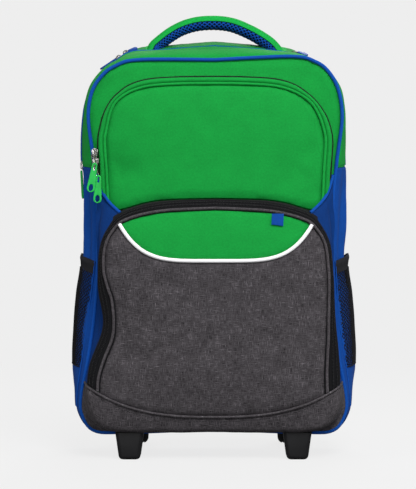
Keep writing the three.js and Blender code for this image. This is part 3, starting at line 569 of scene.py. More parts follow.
def dressed(obj, look_name, body="bag"):
    """Gives a finished piece its material and its body, and hides the node that it stands for."""
    obj.data.materials.clear()
    obj.data.materials.append(look(look_name))
    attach(obj, body)
    node = obj.name.removesuffix(STANDS_FOR)
    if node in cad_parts:
        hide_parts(node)
    return obj


# A sheet's width and length are taken as at least this, in metres.
NARROWEST_SHEET = 0.01


def cloth_piece(name, look_name, points, faces, weave, wall, heights, turned=False, sheet=True):
    """A cloth panel: a sheet raised by heights along its normals and given its thickness."""
    if not turned:
        faces = facing_out(points, faces)
    points = points + vertex_normals(points, faces) * heights[:, None]
    solid, walls = thickened(points, faces, wall)
    obj = dressed(mesh_object(name, solid, walls, np.concatenate([weave, weave])), look_name)
    if sheet:
        width, length = np.maximum(np.ptp(weave, axis=0) * MM, NARROWEST_SHEET)
        area = min(surface_area(points, faces) * MM**2, width * length)
    return obj


def surface_area(points, faces):
    """The area of a mesh of triangles and quads."""
    return sum(np.linalg.norm(face_normals(points, group), axis=1).sum() for group in faces) / 2


def patch(edge, spacing):
    """Triangles that fill a closed edge of [x, z] points evenly."""
    low, high = edge.min(0), edge.max(0)
    across = np.arange(low[0], high[0], spacing)
    up = np.arange(low[1], high[1], spacing * 0.866)
    x, z = np.meshgrid(across, up)
    x[1::2] += spacing / 2
    inner = np.stack([x.ravel(), z.ravel()], -1)
    inner = inner[edge_measure(inner, edge)[0] > 0.6 * spacing]
    points = [Vector(p) for p in np.concatenate([edge, inner])]
    filled = geometry.delaunay_2d_cdt(points, [], [list(range(len(edge)))], 1, 1e-6)
    flat = np.array([p[:] for p in filled[0]])
    triangles = np.array(filled[2])
    used = np.unique(triangles)
    return flat[used], np.searchsorted(used, triangles)


def panel_piece(name, look_name, edge, depth, seam, gathers, *waves, spacing, wall=2, extra=None, sheet=True):
    """A cloth panel that fills an edge of [x, z] points at depths: seam is the depth and width of the hollow round it,
    gathers and waves are sizes, heights and seeds, and extra gives more heights."""
    flat, triangles = patch(edge, spacing)
    distance, place = edge_measure(flat, edge)
    heights = dip(distance, *seam) + puckers(distance, place, *gathers)
    for wave in waves:
        heights = heights + ripples(on_depth(flat, 0), *wave)
    if extra:
        heights = heights + extra(flat)
    points = on_depth(flat, depth(flat))
    return cloth_piece(name, look_name, points, [triangles], flat, wall, heights, sheet=sheet)


def lofted(rings, loop=False):
    """Points and faces of a solid through rings of as many points each, closed at its ends unless it is a loop."""
    rings = np.array(rings)
    count, around = rings.shape[:2]
    faces = []
    for i in range(count if loop else count - 1):
        a, b = i * around, ((i + 1) % count) * around
        faces += [(a + k, a + (k + 1) % around, b + (k + 1) % around, b + k) for k in range(around)]
    if not loop:
        faces += [tuple(range(around))[::-1], tuple(range((count - 1) * around, count * around))]
    return rings.reshape(-1, 3), faces


def raw_mesh(points, faces):
    """A mesh in millimetres."""
    mesh = bpy.data.meshes.new("raw")
    mesh.from_pydata(points.tolist(), [], faces)
    return mesh


def tube(line, radius, sides, loop=False):
    """Points and faces of a round tube along a line, with little twist."""
    ahead = np.roll(line, -1, axis=0) - np.roll(line, 1, axis=0)
    if not loop:
        ahead[0], ahead[-1] = line[1] - line[0], line[-1] - line[-2]
    ahead = unit(ahead)
    side = np.cross(ahead[0], [0.31, 0.87, 0.38])
    angle = 2 * math.pi * shares_round(sides)[:, None]
    rings = []
    for p, t in zip(line, ahead):
        side = unit(side - t * (side @ t))
        rings.append(p + radius * (np.cos(angle) * side + np.sin(angle) * np.cross(t, side)))
    return lofted(rings, loop)


# Rules for what repeats or follows a line.

def rule(name, **inputs):
    """An empty node rule with named inputs, and the node that they enter by."""
    tree = bpy.data.node_groups.new(name, "GeometryNodeTree")
    for label, kind in {"Geometry": "Geometry", **inputs}.items():
        tree.interface.new_socket(label, in_out="INPUT", socket_type="NodeSocket" + kind)
    tree.interface.new_socket("Geometry", in_out="OUTPUT", socket_type="NodeSocketGeometry")
    return tree, tree.nodes.new("NodeGroupInput")


def add_node(tree, kind, inputs=None, **settings):
    """A node with its settings, and its inputs by name or number: a value, a socket, or a node whose first output it
    takes."""
    node = tree.nodes.new(kind)
    for key, value in settings.items():
        setattr(node, key, value)
    for key, value in (inputs or {}).items():
        if isinstance(value, bpy.types.Node):
            value = value.outputs[0]
        if isinstance(value, bpy.types.NodeSocket):
            tree.links.new(value, node.inputs[key])
        else:
            node.inputs[key].default_value = value
    return node


def close_rule(tree, given, shape):
    """Ends a rule: instances become plain mesh, shaded smooth, in the given material."""
    plain = add_node(tree, "GeometryNodeRealizeInstances", {"Geometry": shape})
    smooth = add_node(tree, "GeometryNodeSetShadeSmooth", {"Geometry": plain})
    painted = add_node(tree, "GeometryNodeSetMaterial", {"Geometry": smooth, "Material": given.outputs["Material"]})
    add_node(tree, "NodeGroupOutput", {0: painted})
    return tree


def cord_rule():
    """A round cord along each line."""
    tree, given = rule("cord along a line", Radius="Float", Sides="Int", Material="Material")
    curve = add_node(tree, "GeometryNodeMeshToCurve", {"Mesh": given})
    section = add_node(tree, "GeometryNodeCurvePrimitiveCircle",
                       {"Resolution": given.outputs["Sides"], "Radius": given.outputs["Radius"]})
    swept = add_node(tree, "GeometryNodeCurveToMesh", {"Curve": curve, "Profile Curve": section, "Fill Caps": True})
    return close_rule(tree, given, swept)


def row_rule():
    """A row of small rounded parts along each line, each lying along it and facing up from the cloth."""
    tree, given = rule("row along a line", Pitch="Float", Part="Vector", Material="Material")
    curve = add_node(tree, "GeometryNodeMeshToCurve", {"Mesh": given})
    spaced = add_node(tree, "GeometryNodeResampleCurve", {"Curve": curve, "Length": given.outputs["Pitch"]},
                      mode="LENGTH")
    part = add_node(tree, "GeometryNodeMeshUVSphere", {"Segments": 6, "Rings": 4, "Radius": 0.5})
    sized = add_node(tree, "GeometryNodeTransform", {"Geometry": part, "Scale": given.outputs["Part"]})
    tangent = add_node(tree, "GeometryNodeInputTangent")
    up = add_node(tree, "GeometryNodeInputNamedAttribute", {"Name": "up"}, data_type="FLOAT_VECTOR")
    along = add_node(tree, "FunctionNodeAlignRotationToVector", {"Vector": tangent}, axis="X")
    upright = add_node(tree, "FunctionNodeAlignRotationToVector", {"Rotation": along, "Vector": up}, axis="Z",
                       pivot_axis="X")
    placed = add_node(tree, "GeometryNodeInstanceOnPoints", {"Points": spaced, "Instance": sized, "Rotation": upright})
    return close_rule(tree, given, placed)


RULES = {}


def ruled(name, make_rule, lines, values, loop=False, ups=None):
    """Runs a rule on lines of points in millimetres, and keeps the result as a plain mesh."""
    if make_rule not in RULES:
        RULES[make_rule] = make_rule()
    tree = RULES[make_rule]
    edges = []
    start = 0
    for line in lines:
        index = np.arange(start, start + len(line))
        edges += np.stack([index[:-1], index[1:]], 1).tolist()
        if loop:
            edges.append([start + len(line) - 1, start])
        start += len(line)
    mesh = bpy.data.meshes.new(name)
    mesh.from_pydata((np.concatenate(lines) * MM).tolist(), edges, [])
    facing_up = mesh.attributes.new("up", "FLOAT_VECTOR", "POINT")
    if ups is not None:
        facing_up.data.foreach_set("vector", np.concatenate(ups).astype(np.float32).ravel())
    obj = link(name, mesh)
    modifier = obj.modifiers.new("rule", "NODES")
    modifier.node_group = tree
    for item in tree.interface.items_tree:
        if item.in_out == "INPUT" and item.name in values:
            modifier[item.identifier] = values[item.name]
    made = plain_mesh(obj)
    bpy.data.meshes.remove(mesh)
    made.name = name
    return link(name, made)


def cord_piece(name, look_name, lines, radius, loop=False, sides=10):
    """Round cords along lines."""
    values = {"Radius": radius * MM, "Sides": sides, "Material": look(look_name)}
    return dressed(ruled(name, cord_rule, lines, values, loop), look_name)


def row_piece(name, look_name, faced_lines, pitch, part):
    """Rows of stitches or zip teeth along lines with the directions that they face."""
    lines, ups = zip(*faced_lines)
    values = {"Pitch": pitch * MM, "Part": tuple(v * MM for v in part), "Material": look(look_name)}
    return dressed(ruled(name, row_rule, lines, values, False, ups), look_name)


# Finishes.

# A wave texture's bands lie this far apart at a scale of one.
WAVE_SPAN = math.pi / 10
CLOTH_SHEEN = 0.02


def finish(name, roughness, metallic=0.0, sheen=0.0, specular=0.1):
    """A new finish's node tree and shader."""
    made = bpy.data.materials.new(name)
    made.use_nodes = True
    tree = made.node_tree
    shader = tree.nodes["Principled BSDF"]
    for label, value in (("Roughness", roughness), ("Metallic", metallic), ("Sheen Weight", sheen),
                         ("Specular IOR Level", specular)):
        shader.inputs[label].default_value = value
    return tree, shader


def place_of(tree, on_cloth):
    """Where a pattern lies: on the cloth's own directions, or in the object."""
    if on_cloth:
        return add_node(tree, "ShaderNodeUVMap", uv_map="weave").outputs[0]
    return add_node(tree, "ShaderNodeTexCoord").outputs["Object"]


def speckle(tree, place, scale, detail=2, stretch=(1, 1, 1)):
    """Noise at a scale, drawn out by a stretch."""
    turned = add_node(tree, "ShaderNodeMapping", {"Vector": place, "Scale": stretch})
    made = add_node(tree, "ShaderNodeTexNoise", {"Vector": turned.outputs[0], "Scale": scale, "Detail": detail})
    return made.outputs["Fac"]


def summed(tree, *terms):
    """The sum of sockets, each times its weight."""
    total = 0.0
    for socket, weight in terms:
        total = add_node(tree, "ShaderNodeMath", {0: socket, 1: weight, 2: total}, operation="MULTIPLY_ADD").outputs[0]
    return total


def joined_by(tree, operation, first, second):
    """Two sockets joined by an operation."""
    return add_node(tree, "ShaderNodeMath", {0: first, 1: second}, operation=operation).outputs[0]


def ramped(tree, shader, value, *stops):
    """Colours a shader by a value, through stops of (place, colour)."""
    ramp = add_node(tree, "ShaderNodeValToRGB", {0: value})
    elements = ramp.color_ramp.elements
    while len(elements) < len(stops):
        elements.new(0.5)
    for element, (place, colour) in zip(elements, stops):
        element.position = place
        element.color = (*colour, 1)
    tree.links.new(ramp.outputs[0], shader.inputs["Base Color"])


def bumped(tree, shader, height, strength, depth):
    """Raises a surface by a height."""
    bump = add_node(tree, "ShaderNodeBump", {"Height": height, "Strength": strength, "Distance": depth * MM})
    tree.links.new(bump.outputs[0], shader.inputs["Normal"])


def shade(colour, share):
    """A colour made darker or lighter."""
    return tuple(min(1, c * share) for c in colour)


def woven(name, colour, contrast=0.3, thread=None, on_cloth=True):
    """Plain woven cloth with uneven threads, as far apart as the settings say or otherwise in millimetres."""
    tree, shader = finish(name, 0.8, sheen=CLOTH_SHEEN)
    place = place_of(tree, on_cloth)
    mottle = speckle(tree, place, 40, 3)
    slub = speckle(tree, place, 420)
    grain = speckle(tree, place, 1100)
    height = grain
    if on_cloth:
        pitch = thread * MM if thread else bpy.context.scene.travel_bag_sizes.thread
        waves = {"Vector": place, "Scale": WAVE_SPAN / pitch, "Distortion": 1.2, "Detail": 1.0, "Detail Scale": 0.6}
        threads = [add_node(tree, "ShaderNodeTexWave", waves, bands_direction=way).outputs["Fac"] for way in "XY"]
        height = summed(tree, (joined_by(tree, "MULTIPLY", *threads), 1.0), (grain, 0.6))
    value = summed(tree, (mottle, 0.22), (slub, 0.4), (height, 0.45))
    dark, light = shade(colour, 1 - contrast), shade(colour, 1 + contrast)
    ramped(tree, shader, value, (0.3, dark), (0.56, colour), (0.85, light))
    bumped(tree, shader, height, 0.35, 0.25)


def heather(name, colour, dark, middle, light, on_cloth=True):
    """Cloth of dark, middling and pale threads, each a share of a colour, with pale slubs both ways."""
    dark, middle, light = (shade(colour, share) for share in (dark, middle, light))
    tree, shader = finish(name, 0.85, sheen=CLOTH_SHEEN)
    place = place_of(tree, on_cloth)
    ways = ((125, 1300, 500), (1300, 125, 500)) if on_cloth else ((420, 420, 420), (900, 900, 900))
    slubs = [speckle(tree, place, 1, 3, way) for way in ways]
    fleck = speckle(tree, place, 1500, 1)
    mottle = speckle(tree, place, 55, 3)
    longest = joined_by(tree, "MAXIMUM", *slubs)
    value = summed(tree, (longest, 0.75), (fleck, 0.25), (mottle, 0.15))
    ramped(tree, shader, value, (0.52, dark), (0.62, middle), (0.68, middle), (0.78, light))
    bumped(tree, shader, value, 0.3, 0.25)


def moulded(name, colour, roughness, grain=0.06):
    """Moulded plastic or rubber with a fine grain."""
    tree, shader = finish(name, roughness, specular=0.2)
    place = place_of(tree, False)
    cloud = speckle(tree, place, 70, 3)
    pores = speckle(tree, place, 2600, 2)
    ramped(tree, shader, cloud, (0.3, shade(colour, 0.86)), (0.7, shade(colour, 1.14)))
    uneven = summed(tree, (cloud, 0.25), (pores, 0.1), (roughness - 0.17, 1.0))
    tree.links.new(uneven, shader.inputs["Roughness"])
    bumped(tree, shader, pores, 0.25, grain)


def metal(name, colour, roughness):
    """Metal with fine scratches along it."""
    tree, shader = finish(name, roughness, metallic=1.0, specular=0.5)
    place = place_of(tree, False)
    scratches = speckle(tree, place, 1, 3, (2600, 2600, 180))
    cloud = speckle(tree, place, 160, 2)
    ramped(tree, shader, cloud, (0.3, shade(colour, 0.82)), (0.7, shade(colour, 1.08)))
    uneven = summed(tree, (scratches, 0.22), (cloud, 0.12), (roughness - 0.17, 1.0))
    tree.links.new(uneven, shader.inputs["Roughness"])
    bumped(tree, shader, scratches, 0.12, 0.05)


# Each finish: its slot in the record, what makes it, its colour in the settings, that colour's share, and what is
# particular to it.
FINISHES = {
    "green weave": ("green_cloth", woven, "green", 1),
    # The green made darker: painted shade for the back gusset, seen edge on.
    "deep green weave": ("green_cloth", woven, "green", 0.82),
    # The green made lighter: painted light on the handle cover's top, lit from above.
    "bright green weave": ("green_cloth", woven, "green", 1.25),
    "green cord": ("green_cloth", woven, "green", 1.1, 0.3, None, False),
    "blue weave": ("blue_cloth", woven, "blue", 1, 0.24),
    # The blue made darker: painted shade for the wings' hollow between the front piping and the zip band.
    "deep blue weave": ("blue_cloth", woven, "blue", 0.55),
    "blue cord": ("blue_cloth", woven, "blue", 1.25, 0.18, None, False),
    "air mesh": ("blue_cloth", woven, "blue", 1.35, 0.2, None, False),
    "air mesh base": ("blue_cloth", woven, "blue", 0.06, 0.4, 1.2),
    "white cord": ("white_cloth", woven, "white", 1, 0.05, None, False),
    "black weave": ("black_cloth", woven, "black", 1),
    "black cord": ("black_cloth", woven, "black", 0.7, 0.3, None, False),
    "back weave": ("black_cloth", woven, "black", 1.5, 0.3, 2.4),
    "zip tape": ("black_cloth", woven, "black", 0.62, 0.25, 0.7),
    "elastic": ("black_cloth", woven, "black", 1.5, 0.25, 1.1),
    "net thread": ("net", woven, "black", 0.75, 0.2, None, False),
    "heather": ("melange_cloth", heather, "grey", 1, 0.3, 1, 3.2),
    "heather cord": ("melange_cloth", heather, "grey", 1, 0.55, 1.05, 2.6, False),
    "grey thread": ("melange_cloth", woven, "grey", 0.42, 0.3, None, False),
    "green rubber": ("green_rubber", moulded, "green_pull", 1, 0.42),
    "blue rubber": ("blue_rubber", moulded, "blue_pull", 1, 0.42),
    "black plastic": ("black_plastic", moulded, "plastic", 1, 0.48),
    "zip coil": ("black_plastic", moulded, "plastic", 1.7, 0.36),
    "tyre": ("wheel_rubber", moulded, "plastic", 0.75, 0.72, 0.12),
    "nickel": ("steel", metal, "nickel", 1, 0.26),
    # The same nickel made darker: painted shade for the sliders on the top.
    "dark nickel": ("steel", metal, "dark_nickel", 1, 0.34),
    "dark tube": ("dark_aluminium", metal, "tube", 1, 0.42),
    "bright tube": ("aluminium", metal, "rod", 1, 0.3),
}


def look(name):
    """A finish by its name, made from the settings on its first use."""
    if name not in bpy.data.materials:
        _, make, colour, share, *particular = FINISHES[name]
        make(name, shade(getattr(bpy.context.scene.travel_bag_colours, colour), share), *particular)
    return bpy.data.materials[name]


# The main compartment.

FRONT_FOLDS = table("x0 z0 x1 z1 width height", (-148, 436, -118, 470, 7, -3), (-142, 452, -112, 474, 6, 2.4),
                    (-146, 405, -138, 440, 6, -2), (140, 440, 120, 466, 8, -1.6))
# On the sides, along the depth and the height.
SIDE_FOLDS = table("y0 z0 y1 z1 width height", (-54, 196, -47, 345, 4.5, -1.6), (-44, 230, -38, 350, 4, 1.3),
                   (-33, 245, -30, 350, 4, -1.2), (-52, 120, -58, 205, 5, 1.0), (22, 262, 8, 340, 7, 1.2),
                   (44, 250, 34, 335, 7, -1.4), (-10, 252, -4, 300, 6, -0.9))
SIDE_FOLD_DEPTH = 2.4
SIDE_SEAM = Sizes(z=221, depth=0.7, width=1.6, back=-50, front=-54)
TOP_DENTS = table("x0 y0 x1 y1 width height", (-40, -38, 30, -34, 16, -3.2), (-96, -30, -60, -44, 12, -1.2),
                  (66, -30, 104, -40, 12, -1.0))
PIPING_R = 2.25


def side_grid(start, stop, y):
    """A grid round the main compartment between two shares at each depth: its shares, points, weave and faces."""
    count = round((stop - start).mean() * BODY_ROUND / ROW_STEP)
    share = start + (stop - start) * np.linspace(0, 1, count)[:, None]
    points = main_at(share, y).reshape(-1, 3)
    weave = np.stack([(share * BODY_ROUND).ravel(), points[:, 1]], -1)
    return share, points, weave, grid_faces(count, len(y))


def strip(name, look_name, first, last, front, back, wall, extra):
    """Cloth round the main compartment, between two shares at each depth and between two depths."""
    y = front + (back - front) * eased(max(4, round((back - front) / EDGE_STEP)))
    start, stop = first(y), last(y)
    share, points, weave, faces = side_grid(start, stop, y)
    along, depth = weave.T
    ends = (np.minimum(share - start, stop - share) * BODY_ROUND).ravel()
    edge = np.minimum(depth - front, back - depth)
    heights = (dip(edge, 2.3, 2.4) + dip(ends, 0.9, 3) + puckers(edge, along, 9, 0.7, wall) +
               ripples(points, 38, 0.9, wall) + ripples(points, 13, 0.3, 2 * wall) + extra(points))
    return cloth_piece(name, look_name, points, faces, weave, wall, heights)


def upper_start(y):
    """Where the green begins on the right."""
    return colour_seam_share(y, COLOUR_SEAM.gap)


def lower_stop(y):
    """Where the blue ends on the right."""
    return colour_seam_share(y, -COLOUR_SEAM.gap)


def top_dents(points):
    """Soft dents in the cloth over the top."""
    x, y, z = points.T
    return folds(x, y, TOP_DENTS) * ramp(z, 470, 490)


def side_folds(points):
    """Folds that run up the sides, and the cross seam near the front."""
    x, y, z = points.T
    seam = dip(z - SIDE_SEAM.z, SIDE_SEAM.depth, SIDE_SEAM.width) * ramp(y, SIDE_SEAM.back, SIDE_SEAM.front)
    return (SIDE_FOLD_DEPTH * folds(y, z, SIDE_FOLDS) + seam + pocket_filling(points)) * ramp(np.abs(x), 130, 140)


def pocket_filling(points):
    """How far the bag bulges out behind a side pocket's net."""
    x, y, z = points.T
    across = ramp(y, -SIDE_POCKET.half, SIDE_POCKET.half)
    stand = smooth_between(SIDE_STAND, z) * np.where(x > 0, SIDE_POCKET.fuller_right, 1)
    return SIDE_POCKET.filling * stand * np.sin(math.pi * across) * ramp(z, 232, 202)


def make_gussets():
    """The cloth round the main compartment: green in front of the zip and behind it, and blue below."""
    over = (upper_start, lambda y: 1 - upper_start(y))
    front, back = FRONT_SEAM_Y + SEAM_HALF, BACK_SEAM_Y - SEAM_HALF
    strip("front_gusset", "green weave", *over, front, ZIP_Y[0], 2.4, top_dents)
    # The back gusset takes the green made darker, painted shade.
    strip("back_gusset", "deep green weave", *over, ZIP_Y[1], back, 2.3, top_dents)
    strip("lower_gusset", "blue weave", lambda y: -lower_stop(y), lower_stop, front, back, 2.2, side_folds)


def make_main_zip(sizes):
    """The main zip: its tape, its coil, and the blue and green cords that edge it."""
    front, back = ZIP_Y[0] + 0.2, ZIP_Y[1] - 0.2
    y = np.linspace(front, back, 7)
    start = upper_start(y)
    _, points, weave, faces = side_grid(start, 1 - start, y)
    heights = proud_of_side(points) - 1.3 + 0.3 * bell(points[:, 1] - ZIP_MIDDLE, 2.2)
    cloth_piece("main_zip", "zip tape", points, faces, weave, 1.2, heights)
    even = np.linspace(start.min(), 1 - start.min(), 400)
    coil, out = main_at(even, ZIP_MIDDLE), outward(even, ZIP_MIDDLE)
    coil = coil + out * (proud_of_side(coil) - 0.4)[:, None]
    row_piece("main_zip_coil", "zip coil", [(coil, out)], sizes.tooth_pitch / MM, (1.2, 4.2, 1.5))
    edge = main_at(even, front)
    edge += outward(even, ZIP_Y[0]) * (0.5 * proud_of_side(edge) - 0.3)[:, None]
    cord_piece("main_zip_edging", "blue cord", [edge], 1.25)
    cord_piece("main_zip_back_edging", "green cord", [main_at(even, back) - outward(even, ZIP_Y[1]) * 0.5], 0.9)


def proud_of_side(points):
    """How far the main zip stands out on the left side of the bag, where its flaps part."""
    z = points[:, 2]
    return np.where(points[:, 0] < 0, 2.6, 0.6) * ramp(z, 470, 430) * ramp(z, 338, 352)


def outward(share, y):
    """Directions out of the main compartment's side."""
    share = np.asarray(share, float)
    along = main_at(share + NEAR, y) - main_at(share - NEAR, y)
    across = main_at(share, y + 0.5) - main_at(share, y - 0.5)
    return unit(np.cross(across, along))


def make_front_panel():
    """The front panel behind the pockets."""
    edge = drawn_in(seam_ring, shares_round(330), SEAM_HALF)
    panel_piece("front_panel", "green weave", edge, lambda flat: puffed(flat, edge, FRONT_SEAM_Y, 6), (2.4, 2.6),
                (10, 0.8, 1), (45, 0.9, 4), spacing=6, wall=2.4, extra=folds_in(FRONT_FOLDS))


BACK_PADS = Sizes(half=68, bottom=110, top=420, height=2.6, channels=(190, 315))


def back_pads(flat):
    """Heights of the back's quilted pads between the pull handle's tubes."""
    x, z = np.abs(flat[:, 0]), flat[:, 1]
    inside = np.minimum(np.minimum(BACK_PADS.half - x, z - BACK_PADS.bottom), BACK_PADS.top - z)
    for level in BACK_PADS.channels:
        inside = np.minimum(inside, np.abs(z - level))
    crown = 1 - np.exp(-np.clip(inside, 0, None) / 9)
    return BACK_PADS.height * np.where(inside > 0, crown, 0) + dip(inside, 0.9, 2.2)


def make_back_panel():
    """The padded back, quilted between the pull handle's tubes."""
    rim = main_at(shares_round(330), BACK_SEAM_Y)[:, [0, 2]]
    rim = resampled(np.concatenate([rim, rim[:1]]), ROW_STEP)[:-1]
    edge = rim + left_of(unit(np.roll(rim, -1, axis=0) - np.roll(rim, 1, axis=0))) * SEAM_HALF
    obj = panel_piece("back_panel", "back weave", edge, lambda flat: puffed(flat, edge, BACK_SEAM_Y, -2.4), (0.9, 3.5),
                      (10, 0.5, 2), (45, 0.4, 6), spacing=5, wall=2.4, extra=back_pads, sheet=False)


def make_main_piping():
    """Blue piping round the front and back seams."""
    share = shares_round(300)
    cord_piece("front_piping", "blue cord", [on_depth(seam_ring(share), FRONT_SEAM_Y)], PIPING_R, loop=True)
    cord_piece("back_piping", "blue cord", [main_at(share, BACK_SEAM_Y)], PIPING_R, loop=True)


# The upper pocket.

UPPER_DENTS = table("x0 z0 x1 z1 width height", (-118, 338, -84, 352, 17, -4), (-122, 372, -112, 330, 9, -2.2),
                    (124, 384, 104, 356, 12, -2.8), (118, 350, 96, 335, 12, -2), (-60, 438, 40, 441, 14, 0.8),
                    (-30, 330, 60, 326, 22, 0.9))
UPPER_PIPE = Sizes(inset=8.3, y=-80.7, radius=1.75)
UPPER_PANEL = Sizes(inset=9.0, above=1.2)


def band_piece(name, look_name, rows, ring_at, ends, wall, seed):
    """A band of cloth that follows a ring, with a line for each row of a profile: ring_at gives a row's [x, z] points
    at shares, and ends its first and last share."""
    levels = range(len(rows.y))
    first, last = zip(*map(ends, levels))
    middle = len(levels) // 2
    count = 2 + round(lengths_along(ring_at(np.linspace(first[middle], last[middle], 600), middle))[-1] / EDGE_STEP)
    points = np.array([on_depth(ring_at(np.linspace(first[k], last[k], count), k), rows.y[k]) for k in levels])
    weave = grid_weave(lengths_along(points[middle]), lengths_along(points[:, count // 2]))
    flat = points.reshape(-1, 3)
    raised = ripples(flat, 20, 0.25, seed)
    cloth_piece(name, look_name, flat, grid_faces(len(levels), count), weave, wall, raised)


def upper_ends(inset, above, line=wing_edge):
    """The shares at which the upper pocket's ring goes behind the wings, or meets another line."""
    right = crossing(lambda s: upper_ring(s, inset), lambda x: line(x) + above, 0.12, 0.4)
    return right, 1 - right


def make_upper_pocket(sizes):
    """The upper pocket: its folded band, its zip line, its piping and its panel."""
    insets = UPPER_BAND_ROWS.inset
    band_piece("upper_zip_band", "green weave", UPPER_BAND_ROWS, lambda s, k: upper_ring(s, insets[k]),
               lambda k: upper_ends(insets[k], 1.2), 1.2, 11)
    share = np.linspace(*upper_ends(0, 0), 320)
    cord_piece("upper_zip_tape", "black cord", [on_depth(upper_ring(share, -0.5), -71.2)], 1.15)
    coil = on_depth(upper_ring(share, -1.2), -72.2)
    row_piece("upper_zip_coil", "zip coil", [facing(coil)], sizes.tooth_pitch / MM, (1.0, 1.5, 1.0))
    share = np.linspace(*upper_ends(UPPER_PIPE.inset, -6), 260)
    pipe = on_depth(upper_ring(share, UPPER_PIPE.inset), UPPER_PIPE.y)
    cord_piece("upper_pocket_piping", "green cord", [pipe], UPPER_PIPE.radius)
    make_upper_panel()


def pocket_top_line(x):
    """Height of the lower pocket's top where the upper pocket comes down behind it."""
    flat = pocket_ring(np.linspace(0.31, 0.5, 600), 0.45)
    order = np.argsort(flat[:, 0])
    return np.interp(np.abs(x - FRONT_LEAN.x), flat[order, 0] - FRONT_LEAN.x, flat[order, 1])


def make_upper_panel():
    """The puffed front of the upper pocket."""
    inset, above = UPPER_PANEL.inset, UPPER_PANEL.above
    ends = upper_ends(inset, above, pocket_top_line)
    over = resampled(upper_ring(np.linspace(*ends, 500), inset), EDGE_STEP)
    under = inner_line(over[-1, 0], over[0, 0], 66, lambda x: pocket_top_line(x) + above)
    panel_piece("upper_pocket", "green weave", np.concatenate([over, under]), upper_face, (2.8, 2.4), (9, 0.9, 3),
                (42, 1.0, 8), (15, 0.3, 9), spacing=5, extra=folds_in(UPPER_DENTS))


# The lower pocket.

# Where the lower pocket's cloth is sewn in beside the front piping.
SEAM_REACH = Sizes(inset=0.8, y=-69.2)
FACE_INSET = 12.6
FACE_GAP = 0.3
FACE_SEAM = (2.9, 2.5)
YOKE_PIPE = Sizes(inset=13.6, proud=0.5, radius=2.3)
BASE_PIPE = Sizes(proud=0.4, radius=1.5)
POCKET_TOP_ROWS = table("front inset y", (1, 0.5, -96.4), (0.8, 0.4, -93), (0.6, 0.4, -89.5), (0.5, 0.4, -86.5))
WING = Sizes(tip_z=336.3, inset=1.2, y=-95.4, wide=32, tall=250, hollow=8, folds=2.3)
POCKET_PIPE = Sizes(inset=11.9, y=-105.4, radius=1.75)
POCKET_COILS = table("inset y", (3.1, -101.5), (6.5, -103.2))
WING_FOLDS = table("u0 v0 u1 v1 width height", (0.34, 0.4, 0.3, 0.98, 0.06, 2.6), (0.62, 0.55, 0.5, 0.95, 0.07, -2.2),
                   (0.15, 0.5, 0.14, 0.9, 0.05, -1.6), (0.8, 0.2, 0.7, 0.6, 0.1, -1.4),
                   (0.4, 0.1, 0.45, 0.4, 0.08, 1.4))
PANEL_DENTS = table("x0 z0 x1 z1 width height", (-118, 150, -92, 190, 14, -3.4), (110, 120, 96, 220, 18, -2),
                    (-60, 110, 60, 104, 26, 2), (-84, 212, -40, 206, 12, -2.2), (-112, 118, -80, 132, 13, -2.6))


def base_ends(front, inset, above=0.0):
    """The shares at which the lower pocket's ring meets the base panel's edge: on the right, and on the left past the
    top."""
    return both_ends(lambda s: pocket_ring(s, front, inset), lambda x: base_edge(x) + above, 0.04, 0.36)


def weld(points, weave, faces):
    """Joins points that coincide."""
    _, first, where = np.unique(np.round(points, 3), axis=0, return_index=True, return_inverse=True)
    where = where.ravel()
    return points[first], weave[first], [where[group] for group in faces]


def onto_seam(flat):
    """The nearest [x, z] points just inside the front piping."""
    seam = drawn_in(seam_ring, shares_round(1600), SEAM_REACH.inset)
    return seam[np.linalg.norm(flat[:, None] - seam[None], axis=-1).argmin(1)]


def make_base_panel():
    """The heather base: the front below the base edge, the rounded edge and the underside in one sheet."""
    count = 110
    grid = []
    for front, inset, y in rows_of(POCKET_EDGE):
        right, left = base_ends(front, inset)
        grid.append(on_depth(pocket_ring(np.linspace(left - 1, right, count), front, inset), y))
    rim = on_depth(onto_seam(grid[-1][:, [0, 2]]), SEAM_REACH.y)
    grid = np.array([*grid, (grid[-1] + rim) / 2, rim])
    under = grid[0][:, [0, 2]]
    edge = np.concatenate([under, inner_line(under[-1, 0], under[0, 0], 90, base_edge)])
    flat, triangles = patch(edge, ROW_STEP)
    front = on_depth(flat, pocket_face(flat))
    across = lengths_along(grid[:, count // 2])
    weave = grid[..., [0, 2]] - np.stack([0 * grid[..., 0], np.broadcast_to(across[:, None], grid.shape[:2])], -1)
    faces = [triangles, grid_faces(len(grid), count)[0] + len(front)]
    points, weave, faces = weld(np.concatenate([front, grid.reshape(-1, 3)]),
                                np.concatenate([flat, weave.reshape(-1, 2)]), faces)
    middle = np.array([0.0, -60.0, 75.0])
    faces = [facing_out(points, [group], middle)[0] for group in faces]
    distance = np.abs(points[:, 2] - base_edge(points[:, 0]))
    heights = dip(distance, 2.8, 2.5) + ripples(points, 30, 0.7, 21) + ripples(points, 11, 0.25, 22)
    cloth_piece("base_panel", "heather", points, faces, weave, 2, heights, turned=True)


